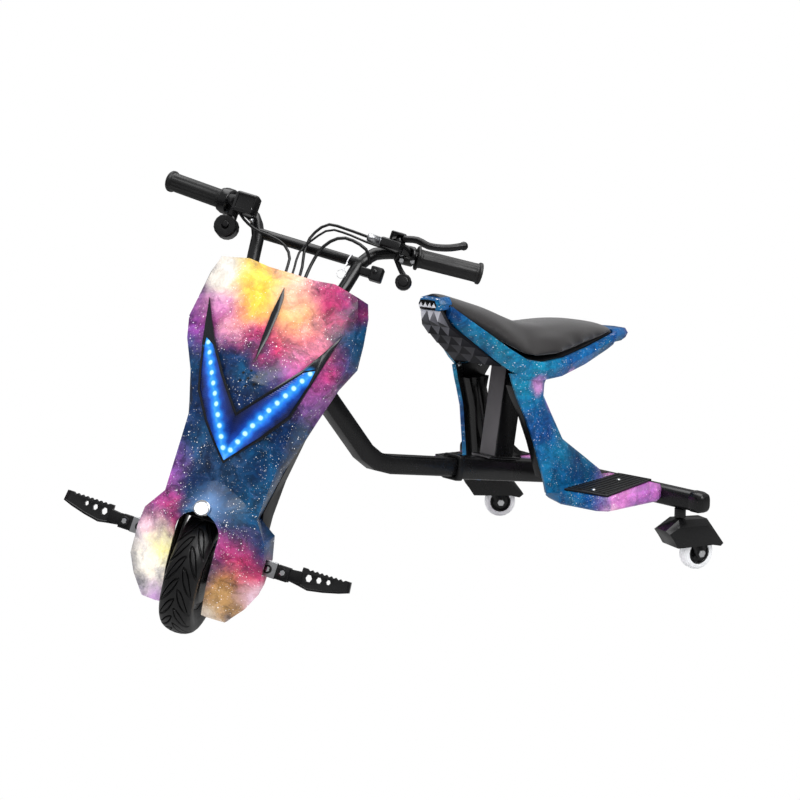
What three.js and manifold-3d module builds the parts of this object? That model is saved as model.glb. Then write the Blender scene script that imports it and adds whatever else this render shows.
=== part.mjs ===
// Tricycle drifter scooter, in millimetres. +X is the rider's left, -Y is forward, +Z is up.
import * as THREE from "three";
import { mergeVertices } from "three/addons/utils/BufferGeometryUtils.js";
import Module from "manifold-3d";

const wasm = await Module();
wasm.setup();

// Fits and fineness
const gap = 0.3;
const runGap = 0.05;
const weldReach = 0.001;
const slack = 0.2;
const flatness = 0.01;
const reach = 400;
const tubeSides = 10;
const cordSides = 8;
const wheelSides = 32;
const casterSides = 20;
const smallBoreSides = 10;
const roundSides = 16;
const fitSides = 24;

// Steering axis: its rake, its turn at rest and the point on it beside the front wheel's centre
const rakeDegrees = 23.47;
const steerDegrees = 43.3;
const axisPoint = [0, -927.35, 97.88];
const wheelForward = 4.35;

// Frame: the down tube's corner points in the middle plane, as [y, z]
const tubeWidth = 34;
const tubeRounding = 4;
const headCentre = [-757.6, 486.4];
const bendPoint = [-562.3, 233.2];
const sleeveMouth = [-372.7, 200.7];
const bendRadius = 95;
const beamSteps = 22;
const tubeInSleeve = 200;
const sleeveWidth = 42;
const sleeveLength = 345;
const collarWidth = 48;
const collarLength = 14;
const headTubeRadius = 21;
const headTubeLow = 380;
const headTubeHigh = 470;
const steererRadius = 14;

// Seat post and its foot plate
const postWidth = 44;
const postDepth = 50;
const postLength = 182;
const postAlong = 113;
const footWidth = 54;
const footDepth = 84;
const footThickness = 5;

// Crossbar and its caps
const barY = -40;
const barZ = 141;
const barHeight = 38;
const barDepth = 30;
const barHalf = 305;
const capLength = 30;
const capEndShare = 0.62;

// Seat stations, nose to tail: y, half width, crown height, lower edge height, band height
const seatStations = [
  [-404, 34, 523, 507, 24],
  [-398, 42, 527, 499, 29],
  [-384, 51, 525, 487, 32],
  [-350, 67, 511, 460, 34],
  [-312, 86, 494, 429, 35],
  [-276, 99, 476, 405, 37],
  [-240, 106, 461, 397, 36],
  [-186, 109, 454, 401, 36],
  [-110, 97, 455, 413, 33],
  [-28, 75, 452, 426, 27],
  [2, 63, 448, 429, 24],
  [12, 52, 440, 430, 22],
];
// Painted tail behind the cushion and painted nose before it: y, half width, top, bottom
const tailStations = [
  [12.3, 54, 434, 407],
  [44, 48, 434, 408],
  [66, 38, 432, 412],
  [77, 26, 427, 417],
];
const noseStations = [
  [-431, 25, 517, 499],
  [-426, 30, 521, 498],
  [-404.3, 37, 523, 500],
];
const shellSeam = 0.2;
const bandLap = 3;
const crownPower = 2.6;
const sideDraw = 3.5;
const underShare = 0.42;
const seatSides = 12;
const trayThickness = 7;
const bandThickness = 9;
const bandFlare = 1.5;
const bandTuck = 8;
const bandFull = 36;
const trayInset = 12;

// Leg stations, top to bottom: z, front y, rear y, outer x
const legStations = [
  [378, -300, -196, 86],
  [352, -292, -214, 89],
  [330, -284, -218, 91],
  [294, -269, -203, 98],
  [245, -256, -182, 108],
  [205, -247, -128, 114],
  [176, -241, -90, 119],
  [150, -236, -76, 121],
];
const legThickness = 13;
const legCrest = 5;
const legEdge = 12;
const linerThickness = 25;
const linerInset = 10;
const linerFold = 7;

// Step platform outline seen from above, as [x, y], and its pad
const stepOutline = [
  [92, -214],
  [146, -234],
  [228, -222],
  [247, -206],
  [250, -74],
  [224, -28],
  [98, -30],
  [90, -60],
];
const stepTop = 160;
const stepThickness = 26;
const stepChamfer = 5;
const padOutline = [[150, -224], [134, -110], [122, -46], [200, -38], [240, -204]];
const padThickness = 4;
const padRib = 1.6;
const padRibPitch = 11;

// Pyramid panel under the nose: stations as [y, z, half width]
const panelStations = [[-424, 497, 28], [-412, 468, 38], [-378, 441, 48], [-344, 416, 58], [-310, 391, 67]];
const panelRows = 5;
const panelColumns = 3;
const pyramidHeight = 9;
const panelThickness = 6;

// Casters
const casterX = 274;
const casterY = -40;
const casterTurns = { left: 14, right: 36 };
const casterTrail = 39;
const casterStemRadius = 6;
const casterWheelRadius = 33;
const casterWheelWidth = 24;
const casterHubRadius = 22;
const casterBoltRadius = 4;
const casterPlateGap = 1.5;
const casterPlateThickness = 3;
const casterCrown = 84;
const casterCollarRadius = 10.8;
const casterCollarFoot = 103.4;
// Cover outlines in the trailing plane, as [distance behind the stem, height]: at the crown,
// at the side walls and of the room inside
const coverCrown = [[-42, 84], [-13, 103], [52, 99], [89, 50], [82, 44], [62, 49], [-20, 51], [-31, 68]];
const coverSide = [[-40, 80], [-18, 91], [47, 88], [84, 50], [78, 45], [60, 49], [-20, 51], [-31, 68]];
const coverRoom = [[-25, 68], [-17, 88.1], [24, 88.1], [46, 82], [73, 50], [76, 20], [-14, 20], [-16, 56]];
const coverWidth = 50;
const coverCrownWidth = 28;
const coverWall = 2.5;

// Front wheel and fork
const wheelRise = 7.06;
const tyreRadius = 108;
const tyreWidth = 56;
const rimRadius = 64;
const axleRadius = 6;
const forkHalf = 50;
const forkLegThickness = 9;
const forkLegWidth = 28;
const forkFoot = -16;
const crownLow = 122;
const crownHigh = 138;
const steererTop = 500;
const axleHalf = 66;
const nutRadius = 10;
const nutThickness = 8;
const linerRadius = 112.5;
const linerHalf = 44;

// Shield: rows of its face from the top down, in steering coordinates. Each row holds the
// middle, two inner points, the crease and the flank's rear edge, as [side, forward, up]
const shieldRows = [
  [[0, 33, 517], [40, 37, 516], [75, 44, 519], [119, 48, 508], [131.5, 5, 509]],
  [[0, 49, 485], [40, 51, 485], [75, 53, 485], [126, 47, 485], [140, 5, 485]],
  [[0, 64, 440], [42, 62, 440], [78, 58, 440], [134, 46, 440], [146, 5, 440]],
  [[0, 77, 398], [42, 73, 398], [78, 66, 398], [140, 45, 398], [149, 5, 398]],
  [[0, 90, 357], [40, 83, 357], [74, 72, 357], [130, 50, 362], [130, 5, 357]],
  [[0, 102, 320], [34, 93, 320], [62, 79, 320], [108, 53, 318], [117, 5, 312]],
  [[0, 98, 268], [28, 91, 268], [52, 79, 268], [85, 60, 268], [103, 5, 264]],
  [[0, 79, 203], [26, 77, 203], [50, 71, 203], [83, 59, 203], [86, 5, 200]],
  [[0, 65, 156], [26, 66, 146], [50, 66, 134], [79, 65, 114], [72, 5, 118]],
  [[0, 114, 104], [38, 108, 92], [70, 90, 78], [103, 60, 79], [104, 2, 98]],
  [[0, 118, 60], [38, 98, 60], [72, 82, 50], [108, 48, 50], [112, -4, 60]],
  [[0, 110, 0], [38, 78, 0], [74, 60, -1], [112, 20, 0], [113, 4, 18]],
  [[0, 80, -33], [38, 56, -33], [59, 45, -33], [97, 16, -30], [96, 8, -24]],
  [[0, 60, -60], [37, 38, -58], [50, 30, -60], [73, 15, -60], [76, 9, -56]],
];
const shieldWall = 4;
const archHalf = 40;
const archTop = 99;
const archFoot = -90;
// Back cover: rows of [height, rear half width, rear depth, front edge half width]
const backRows = [
  [352, 100, 2, 108],
  [338, 118, -22, 117],
  [300, 106, -26, 106],
  [264, 96, -27, 96],
  [190, 86, -27, 82],
  [128, 84, -26, 72],
  [92, 88, -20, 80],
];
const backSlotHalf = 44;
const backSlotTop = 134;
const backFront = 3;
const backWall = 3;

// V light: its outline and its lens as [side, up] on the rider's left half
const bezelOutline = [
  [0, 183],
  [20, 205],
  [48, 238],
  [80, 285],
  [98, 358],
  [115, 436],
  [98, 404],
  [76, 366],
  [44, 322],
  [0, 266],
];
const lensOutline = [
  [0, 188],
  [18, 208],
  [45, 241],
  [76, 287],
  [91, 345],
  [94, 370],
  [78, 361],
  [46, 317],
  [0, 260],
];
const seamHalf = 2.5;
const bezelProud = 7;
const lensProud = 5;
const lensFloor = 3;
const finOutline = [[-2, 488], [-5, 440], [-4, 395], [0, 352], [5, 395], [6, 440], [4, 470]];
const finProud = 5;
const headlightHeight = 106;
const headlightForward = 122;
const headlightRadius = 13;
const headlightLensRadius = 10.5;
const headlightLength = 16;
const headlightTilt = 12;
const speakerHeight = 324;
const speakerRing = 13.4;
const speakerHoles = 6;
const speakerDepth = 27.4;
const speakerHoleRadius = 1.5;

// Pegs
const pegHeight = 44;
const hingeSide = 138;
const hingeForward = 4;
const hingeRadius = 4;
const bracketSide = 98;
const bracketHeight = 26;
const bracketThickness = 4;
const bracketBar = 58;
const pegLength = 112;
const pegRise = 6;
const pegThickness = 15;
const pegWeb = 8;
const pegRail = 4;
const pegNeck = 19;
const pegStep = 30;
const pegTop = 17;
const pegTipTop = 9;
const pegUnderside = [[30, -15], [44, -19], [70, -17], [96, -13]];
const pegHoles = [[42, 6.5], [59, 5.4], [75, 4.4]];
const pegStart = 8;
const barrelLength = 17.4;
const toothPitch = 8;
const toothDepth = 3;

// Handlebar corner points on the rider's left as [side, forward, up], tube and brace
const barCorners = [
  [60, 0, 498],
  [80, -7, 514],
  [90, -24, 572],
  [107, -37, 602],
  [140, -45, 615.5],
  [281.4, -86.9, 630.6],
];
const barTube = 11;
const barBend = 34;
const barSteps = 56;
const braceRadius = 9;
const bracePoint = [90, -24, 576];
const clampRadius = 18;
const clampHalf = 24;
const gripLength = 116;
const gripStart = 37;
const gripRadius = 16.5;
const gripFlange = 21;
const gripEndFlare = 2.5;
const gripRibs = 10;
const gripRibDepth = 1.3;

// Controls, in distances along the straight part of the bar
const brakeRingAt = 14;
const ringLength = 18;
const ringWall = 4.5;
const leverPivot = [146, -10, 626];
const leverPath = [
  [141, -10, 626],
  [155, -3, 634],
  [176, 2, 637],
  [198, 3, 633],
  [228, -2, 640],
  [252, -7, 652],
];
const leverThickness = 6.5;
const leverBallRadius = 6;
const leverDegrees = 20;
const leverRoomShare = 1.1;
const adjusterPoint = [94, -6, 620];
const throttleRingAt = 20;
const throttleHousingRadius = 21;
const displayCentre = [-122, -2, 613];
const displaySize = [36, 24, 30];
const displayRecess = 2;
const switchRingAt = 2;
const switchCentre = [-150, -34, 574];
const switchRadius = 19;
const switchLength = 24;
const switchButtonRadius = 6;
const buttonProud = 3;
const buttonTravel = 2;
const accessoryCentre = [127, -8, 563];
const accessorySize = [22, 20, 24];
const hornCentre = [172, -24, 567];
const hornRadius = 14;
const hornLength = 12;
const hornButtonRadius = 9;

// Cables: lists of points from the controls to the controller, and their radii
const cableRoutes = {
  brake_cable: {
    radius: 2.5,
    points: [
      [94, -6, 620],
      [53, -5, 622],
      [22, -4, 620],
      [2, -2, 592],
      [0, 2, 566],
      [8, 14, 530],
      [10, 32, 480],
      [10, 36, 420],
      [10, 38, 371.7],
    ],
  },
  switch_cable: {
    radius: 2,
    points: [
      [124, -8, 610],
      [96, -2, 610],
      [56, 4, 613],
      [30, 4, 611],
      [9, 5, 588],
      [-6, 8, 560],
      [-4, 17, 526],
      [0, 34, 480],
      [-2, 36, 420],
      [-2, 38, 371.7],
    ],
  },
  light_cable: {
    radius: 3,
    points: [
      [111, -8, 577],
      [100, 4, 596],
      [60, 10, 604],
      [42, 12, 594],
      [28, 13, 574],
      [22, 15, 550],
      [20, 20, 526],
      [21, 34, 480],
      [22, 38, 420],
      [22, 40, 371.7],
    ],
  },
  throttle_cable: {
    radius: 2.5,
    points: [
      [-126, -4, 594],
      [-112, 2, 584],
      [-88, 4, 574],
      [-62, 6, 571],
      [-36, 7, 564],
      [-20, 9, 548],
      [-16, 16, 526],
      [-13, 34, 480],
      [-14, 38, 420],
      [-14, 40, 371.7],
    ],
  },
};
const cableSteps = 24;

// Battery and controller behind the shield
const batterySize = [84, 42, 150];
const batteryLow = 190;
const controllerSize = [70, 34, 31];
const controllerForward = 38;

// Small rounding shares and looks
const half = 0.5;

// Edges and small details shared by several pieces
const smallEdge = 1;
const fineEdge = 0.8;
const softEdge = 1.5;
const hexSides = 6;
const barRoundShare = 0.45;
const capOversize = 2;
const capShares = [[1, 0], [1, 0.55], [0.86, 0.88], [capEndShare, 1]];
const postRounding = 4;
const footRounding = 6;
const bossMargin = 16;
const bossHeight = 34;
const underFractions = [-1, -0.5, 0, 0.5, 1];
const foldShares = [[1, 1], [0.86, 0], [0.68, 0], [0.6, 1], [0.52, 1], [0.44, 0], [0.3, 0], [0.22, 1], [0.14, 1], [0, 0]];
const padFieldShares = [0.9, 0.94];
const padRibShare = 0.4;

// Caster plate, crown and bolt
const casterPlate = [[-13, 88], [15, 88], [32, 72], [50, 42], [50, 28], [44, 22], [33, 23], [27, 32], [11, 66], [-13, 84]];
const casterCrownSize = [28, 4];
const casterCrownLift = 1.7;
const casterBoltOverhang = 4;
const casterNutScale = 1.9;
const casterNutBite = 0.1;
const casterHubStep = 4;
const casterHubBoss = 9;

// Hub motor and liner
const motorBoss = 16;
const motorBossReach = 8;
const motorShoulder = 20;
const motorDish = 14;
const motorRim = 8;
const motorInset = 6;
const rimShare = 0.6;
const tyreWall = [[0, 0.62], [14, 0.92], [26, 1], [34, 0.93], [40, 0.74]];
const linerStartDegrees = 46;
const linerSpanDegrees = 96;
const linerTurns = 10;
const speakerSlopeDegrees = 12;
const speakerRim = 6;
const speakerBack = [12, 15];

// Brake clamp, lever and adjuster
const clampArmRadius = 7.5;
const clampBody = [36, 22, 13];
const clampBodyShift = [-11, -7];
const adjusterRadius = 5.5;
const adjusterLength = 26;
const adjusterShift = [-26, -6];
const pinRadius = 3;
const pinLength = 29;
const pinDrop = 13;
const jawSize = [22, 18, 3];
const jawShift = [-3, 13];
const wallSize = [4, 18, 19];
const wallShift = [-13, 5];
const leverEyeRadius = 9;
const leverEyeHeight = 6.6;
const leverEyeRoom = 10.3;
const leverEyeRoomHeight = 7.4;
const leverFlatShare = 0.7;
const leverLinkRadius = 3.1;
const leverLinkLift = 3.3;

// Materials
const look = (color, roughness, metalness, more = {}) => new THREE.MeshStandardMaterial(
  { color, roughness, metalness, ...more },
);
const steelBlack = look(0x141416, 0.38, 0.6);
const plasticBlack = look(0x121214, 0.45, 0.05);
const rubberBlack = look(0x1a1a1b, 0.85, 0);
const silver = look(0xb9bcc0, 0.3, 0.9);

// Solids

function toSolid(geometry) {
  const bare = geometry.clone();
  bare.deleteAttribute("normal");
  bare.deleteAttribute("uv");
  const welded = mergeVertices(bare, weldReach);
  const mesh = new wasm.Mesh({
    numProp: 3,
    vertProperties: new Float32Array(welded.attributes.position.array),
    triVerts: new Uint32Array(welded.index.array),
  });
  return new wasm.Manifold(mesh);
}

function toGeometry(solid) {
  const mesh = solid.getMesh();
  const geometry = new THREE.BufferGeometry();
  geometry.setAttribute("position", new THREE.BufferAttribute(new Float32Array(mesh.vertProperties), 3));
  geometry.setIndex(new THREE.BufferAttribute(new Uint32Array(mesh.triVerts), 1));
  geometry.computeVertexNormals();
  return geometry;
}

const join = (...geometries) => toGeometry(
  geometries.map(toSolid).reduce((whole, next) => whole.add(next)),
);
const cut = (body, ...tools) => toGeometry(
  tools.map(toSolid).reduce((whole, tool) => whole.subtract(tool), toSolid(body)),
);
const overlap = (first, second) => toGeometry(toSolid(first).intersect(toSolid(second)));

// A closed body through rings of equal point counts, given as arrays of Vector3
function loft(rings) {
  const count = rings[0].length;
  const points = rings.flat();
  const index = [];
  for (let r = 0; r + 1 < rings.length; r += 1) {
    for (let i = 0; i < count; i += 1) {
      const j = (i + 1) % count;
      const low = r * count;
      const high = low + count;
      index.push(low + i, low + j, high + j, low + i, high + j, high + i);
    }
  }
  for (const [r, flip] of [[0, true], [rings.length - 1, false]]) {
    const middle = rings[r].reduce((sum, p) => sum.add(p), new THREE.Vector3()).divideScalar(count);
    const centre = points.length;
    points.push(middle);
    for (let i = 0; i < count; i += 1) {
      const j = (i + 1) % count;
      const start = r * count;
      index.push(...(flip ? [centre, start + j, start + i] : [centre, start + i, start + j]));
    }
  }
  return outward(new THREE.BufferGeometry().setFromPoints(points), index);
}

// Turns the faces outward when the rings run the other way
function outward(geometry, index) {
  geometry.setIndex(index);
  const p = geometry.attributes.position;
  const at = (i) => new THREE.Vector3().fromBufferAttribute(p, i);
  let volume = 0;
  for (let i = 0; i < index.length; i += 3) {
    volume += at(index[i]).dot(at(index[i + 1]).cross(at(index[i + 2])));
  }
  if (volume < 0) {
    for (let i = 0; i < index.length; i += 3) {
      [index[i], index[i + 1]] = [index[i + 1], index[i]];
    }
    geometry.setIndex(index);
  }
  geometry.computeVertexNormals();
  return geometry;
}

// A closed sheet over a grid of Vector3 rows, between two distances along its normals
function sheet(rows, near, far) {
  const columns = rows[0].length;
  const flat = rows.flat();
  const faces = [];
  const quad = (a, b, c, d) => faces.push(a, b, c, a, c, d);
  for (let r = 0; r + 1 < rows.length; r += 1) {
    for (let c = 0; c + 1 < columns; c += 1) {
      const a = r * columns + c;
      quad(a, a + 1, a + columns + 1, a + columns);
    }
  }
  const face = new THREE.BufferGeometry().setFromPoints(flat);
  face.setIndex([...faces]);
  face.computeVertexNormals();
  const normals = face.attributes.normal;
  const moved = (distance) => flat.map(
    (p, i) => p.clone().addScaledVector(new THREE.Vector3().fromBufferAttribute(normals, i), distance),
  );
  const total = flat.length;
  const back = [];
  for (let i = 0; i < faces.length; i += 3) {
    back.push(faces[i + 1] + total, faces[i] + total, faces[i + 2] + total);
  }
  const rim = [];
  for (let c = 0; c < columns; c += 1) rim.push(c);
  for (let r = 1; r < rows.length; r += 1) rim.push(r * columns + columns - 1);
  for (let c = columns - 2; c >= 0; c -= 1) rim.push((rows.length - 1) * columns + c);
  for (let r = rows.length - 2; r > 0; r -= 1) rim.push(r * columns);
  const sides = [];
  rim.forEach((a, i) => {
    const b = rim[(i + 1) % rim.length];
    sides.push(b, a, a + total, b, a + total, b + total);
  });
  const points = [...moved(far), ...moved(near)];
  return outward(new THREE.BufferGeometry().setFromPoints(points), [...faces, ...back, ...sides]);
}

const vector = (p) => new THREE.Vector3(...p);
const mirrored = (points) => points.map(([x, ...rest]) => [-x, ...rest]);

// Straight lines with rounded corners through given points
function roundedPath(points, radius) {
  const path = new THREE.CurvePath();
  const corners = points.map(vector);
  let last = corners[0];
  for (let i = 1; i + 1 < corners.length; i += 1) {
    const into = corners[i].clone().sub(corners[i - 1]);
    const out = corners[i + 1].clone().sub(corners[i]);
    const trim = Math.min(
      radius * Math.tan(into.angleTo(out) * half),
      into.length() * 0.45,
      out.length() * 0.45,
    );
    const start = corners[i].clone().addScaledVector(into.normalize(), -trim);
    const end = corners[i].clone().addScaledVector(out.normalize(), trim);
    path.add(new THREE.LineCurve3(last, start));
    path.add(new THREE.QuadraticBezierCurve3(start, corners[i], end));
    last = end;
  }
  path.add(new THREE.LineCurve3(last, corners[corners.length - 1]));
  return path;
}

function circle(radius, sides) {
  const points = Array.from({ length: sides }, (_, i) => {
    const angle = (i / sides) * Math.PI * 2;
    return new THREE.Vector2(radius * Math.cos(angle), radius * Math.sin(angle));
  });
  return new THREE.Shape(points);
}

function roundedBoxShape(width, height, radius) {
  const shape = new THREE.Shape();
  const x = width * half;
  const y = height * half;
  shape.moveTo(-x + radius, -y);
  shape.lineTo(x - radius, -y);
  shape.quadraticCurveTo(x, -y, x, -y + radius);
  shape.lineTo(x, y - radius);
  shape.quadraticCurveTo(x, y, x - radius, y);
  shape.lineTo(-x + radius, y);
  shape.quadraticCurveTo(-x, y, -x, y - radius);
  shape.lineTo(-x, -y + radius);
  shape.quadraticCurveTo(-x, -y, -x + radius, -y);
  return shape;
}

function sweep(path, shape, steps, curveSegments = 2) {
  return new THREE.ExtrudeGeometry(shape, { steps, bevelEnabled: false, extrudePath: path, curveSegments });
}

const tube = (points, radius, steps, sides = tubeSides) => sweep(
  new THREE.CatmullRomCurve3(points.map(vector), false, "centripetal"),
  circle(radius, sides),
  steps,
);

function extrude(shape, depth, bevel = 0, curveSegments = 2) {
  const settings = {
    depth: depth - bevel * 2,
    bevelEnabled: bevel > 0,
    bevelSize: bevel,
    bevelThickness: bevel,
    bevelOffset: -bevel,
    bevelSegments: 1,
    curveSegments,
  };
  const geometry = new THREE.ExtrudeGeometry(shape, settings);
  geometry.translate(0, 0, bevel);
  return geometry;
}

// A rod, or a ring when it has a bore, along +Z from 0
function rod(radius, length, sides = tubeSides, bevel = 0, bore = 0) {
  const profile = [
    [bore, 0],
    [radius - bevel, 0],
    [radius, bevel],
    [radius, length - bevel],
    [radius - bevel, length],
    [bore, length],
  ];
  const unique = profile.filter(
    (p, i) => i === 0 || p[0] !== profile[i - 1][0] || p[1] !== profile[i - 1][1],
  );
  return lathe(bore > 0 ? [...unique, unique[0]] : unique, sides);
}

// A turned body about +Z from a profile of [radius, height]
function lathe(profile, sides) {
  const points = profile.map(([r, z]) => new THREE.Vector2(r, z));
  const geometry = new THREE.LatheGeometry(points, sides);
  geometry.rotateX(Math.PI * half);
  geometry.deleteAttribute("normal");
  geometry.deleteAttribute("uv");
  const welded = mergeVertices(geometry, weldReach);
  const kept = [];
  const index = welded.index.array;
  for (let i = 0; i < index.length; i += 3) {
    const [a, b, c] = [index[i], index[i + 1], index[i + 2]];
    if (a !== b && b !== c && c !== a) kept.push(a, b, c);
  }
  return outward(welded, kept);
}

// Turns a body made along +Z to run along a direction from a point
function aim(geometry, from, direction) {
  const turn = new THREE.Quaternion().setFromUnitVectors(
    new THREE.Vector3(0, 0, 1),
    vector(direction).normalize(),
  );
  geometry.applyQuaternion(turn);
  geometry.translate(...from);
  return geometry;
}

// A bore's corner radius, so that its flats clear a shaft that turns in it
const boreAround = (radius, sides) => (radius + runGap) / Math.cos(Math.PI / sides);

const degrees = (angle) => THREE.MathUtils.degToRad(angle);

function mesh(name, geometry, material) {
  const own = material.clone();
  own.name = name;
  const node = new THREE.Mesh(toGeometry(toSolid(geometry).simplify(flatness)), own);
  node.name = name;
  return node;
}

function group(name, ...children) {
  const node = new THREE.Group();
  node.name = name;
  node.add(...children);
  return node;
}

// Keeps the largest body of a cut
function largest(geometry) {
  const bodies = toSolid(geometry).decompose();
  bodies.sort((a, b) => b.volume() - a.volume());
  return toGeometry(bodies[0]);
}

// Cuts a body so that it stands clear of others on every side
function clearOf(body, ...others) {
  const shifts = [[gap, 0, 0], [-gap, 0, 0], [0, gap, 0], [0, -gap, 0], [0, 0, gap], [0, 0, -gap]];
  const whole = cut(body, ...others.flatMap((other) => shifts.map((shift) => moved(other, ...shift))));
  return toGeometry(toSolid(whole).simplify(slack * half));
}

const moved = (geometry, x, y, z) => geometry.clone().translate(x, y, z);
const shapeOf = (points) => new THREE.Shape(points.map(([x, y]) => new THREE.Vector2(x, y)));

// A box given by its centre and size
function block([x, y, z], [width, depth, height], rounding = 2) {
  const geometry = extrude(roundedBoxShape(width, depth, rounding), height, rounding * half, 1);
  return geometry.translate(x, y, z - height * half);
}

// Rear frame

const sleeveFall = Math.atan2(bendPoint[1] - sleeveMouth[1], sleeveMouth[0] - bendPoint[0]);
const alongSleeve = [0, Math.cos(sleeveFall), -Math.sin(sleeveFall)];
const upSleeve = [0, Math.sin(sleeveFall), Math.cos(sleeveFall)];

// Lays a body made along +Z into the sleeve's line, at a distance behind the mouth
function onSleeve(geometry, distance) {
  geometry.rotateX(-Math.PI * half - sleeveFall);
  return geometry.translate(
    0,
    sleeveMouth[0] + alongSleeve[1] * distance,
    sleeveMouth[1] + alongSleeve[2] * distance,
  );
}

function crossbarSolid(margin) {
  const shape = roundedBoxShape(barDepth + margin * 2, barHeight + margin * 2, barDepth * barRoundShare);
  const bar = extrude(shape, barHalf * 2 + margin * 2, 0, 5);
  bar.rotateX(Math.PI * half);
  bar.rotateZ(Math.PI * half);
  return bar.translate(-barHalf - margin, barY, barZ);
}

function rearSleeve() {
  const ring = (width, inner) => {
    const shape = roundedBoxShape(width, width, tubeRounding + 2);
    shape.holes.push(roundedBoxShape(inner, inner, tubeRounding));
    return shape;
  };
  const bore = tubeWidth + gap * 2;
  const sleeve = onSleeve(extrude(ring(sleeveWidth, bore), sleeveLength, 0), 0);
  const collar = onSleeve(extrude(ring(collarWidth, bore), collarLength, softEdge), -smallEdge);
  return largest(cut(join(sleeve, collar), crossbarSolid(gap)));
}

// Lays a body made along +Z upright on the sleeve at the post's place
function onPost(geometry, height) {
  geometry.rotateX(-sleeveFall);
  const lift = sleeveWidth * half + gap + height;
  const y = sleeveMouth[0] + alongSleeve[1] * postAlong + upSleeve[1] * lift;
  const z = sleeveMouth[1] + alongSleeve[2] * postAlong + upSleeve[2] * lift;
  return geometry.translate(0, y, z);
}

function seatPost() {
  const column = onPost(extrude(roundedBoxShape(postWidth, postDepth, postRounding), postLength, 0), 0);
  const foot = onPost(extrude(roundedBoxShape(footWidth, footDepth, footRounding), footThickness, smallEdge), 0);
  return join(column, foot);
}

const crossbar = () => cut(crossbarSolid(0), casterBore(1), casterBore(-1));

function casterBore(side) {
  return rod(
    boreAround(casterStemRadius, fitSides),
    barZ + 9,
    fitSides,
  ).translate(side * casterX, casterY, 0);
}

function endCap(side) {
  const wide = roundedBoxShape(barDepth + capOversize, barHeight + capOversize, barDepth * barRoundShare).getPoints(5);
  const ring = (share, x) => wide.slice(0, -1).map(
    (p) => new THREE.Vector3(side * x, barY + p.x * share, barZ + p.y * share),
  );
  const start = barHalf + gap;
  return loft(capShares.map(([share, along]) => ring(share, start + capLength * along)));
}

// Seat

const underHeight = (fraction, crown, edge) => edge + (crown - edge) * underShare * (1 - fraction * fraction);

function cushion() {
  const rings = seatStations.map(([y, width, crown, edge]) => {
    const ring = [];
    for (let i = 0; i <= seatSides; i += 1) {
      const angle = Math.PI * (i / seatSides);
      const side = Math.sign(Math.cos(angle)) * Math.abs(Math.cos(angle)) ** (2 / crownPower);
      const rise = Math.sin(angle) ** (2 / crownPower);
      ring.push(new THREE.Vector3(width * side, y, edge + (crown - edge) * rise));
    }
    for (const fraction of underFractions) {
      ring.push(new THREE.Vector3((width - sideDraw) * fraction, y, underHeight(fraction, crown, edge)));
    }
    return ring;
  });
  return loft(rings);
}

function seatBase() {
  const rings = seatStations.map(([y, width, crown, edge]) => {
    const side = width - trayInset;
    const top = underFractions.map((f) => new THREE.Vector3(side * f, y, underHeight(f, crown, edge) + 1));
    const low = underFractions.map(
      (f) => new THREE.Vector3(side * f, y, underHeight(f, crown, edge) - trayThickness),
    );
    return [...top, ...low.reverse()];
  });
  const boss = onPost(extrude(roundedBoxShape(postWidth + bossMargin, postDepth + bossMargin, footRounding), bossHeight), postLength + gap);
  return largest(cut(join(loft(rings), boss), moved(cushion(), 0, 0, -gap)));
}

function sideShell(side) {
  const lapped = ([y, ...rest], lap) => [y + lap, ...rest];
  const bandStations = [
    lapped(seatStations[0], -bandLap),
    ...seatStations,
    lapped(seatStations.at(-1), bandLap),
  ];
  const band = loft(bandStations.map(([y, width, , edge, height]) => {
    const tuck = bandTuck * (height / bandFull);
    return [
      new THREE.Vector3(side * (width + bandFlare), y, edge - gap),
      new THREE.Vector3(side * (width + bandFlare * 2), y, edge - height * 0.42),
      new THREE.Vector3(side * (width - tuck), y, edge - height),
      new THREE.Vector3(side * (width - tuck - bandThickness + bandFlare), y, edge - height),
      new THREE.Vector3(side * (width + bandFlare - bandThickness), y, edge - gap),
    ];
  }));
  const leg = loft(legStations.map(([z, front, rear, x]) => [
    new THREE.Vector3(side * (x - 5), front, z),
    new THREE.Vector3(side * x, front + legEdge, z),
    new THREE.Vector3(side * (x + legCrest), (front + rear) * half, z),
    new THREE.Vector3(side * x, rear - legEdge, z),
    new THREE.Vector3(side * (x - 5), rear, z),
    new THREE.Vector3(side * (x - legThickness), rear - 3, z),
    new THREE.Vector3(side * (x - legThickness), front + 3, z),
  ]));
  const outline = side > 0 ? stepOutline : mirrored(stepOutline).reverse();
  const cap = (stations) => loft(stations.map(([y, width, top, bottom]) => [
    new THREE.Vector3(side * shellSeam, y, top),
    new THREE.Vector3(side * width * 0.8, y, top - 1),
    new THREE.Vector3(side * width, y, (top + bottom) * half),
    new THREE.Vector3(side * width * 0.84, y, bottom),
    new THREE.Vector3(side * shellSeam, y, bottom),
  ]));
  const step = extrude(
    shapeOf(outline),
    stepThickness,
    stepChamfer,
  ).translate(0, 0, stepTop - stepThickness);
  return largest(cut(join(band, leg, step, cap(tailStations), cap(noseStations)), crossbarSolid(gap)));
}

function legLiner(side) {
  const rings = legStations.slice(1, -1).map(([z, front, rear, x]) => {
    const outer = x - legThickness - gap;
    const depth = rear - front - linerInset * 2;
    const at = (share, fold) => new THREE.Vector3(
      side * (outer - linerThickness + fold),
      front + linerInset + depth * share,
      z,
    );
    return [
      new THREE.Vector3(side * outer, front + linerInset, z),
      new THREE.Vector3(side * outer, rear - linerInset, z),
      ...foldShares.map(([share, fold]) => at(share, fold * linerFold)),
    ];
  });
  return loft(rings);
}

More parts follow.
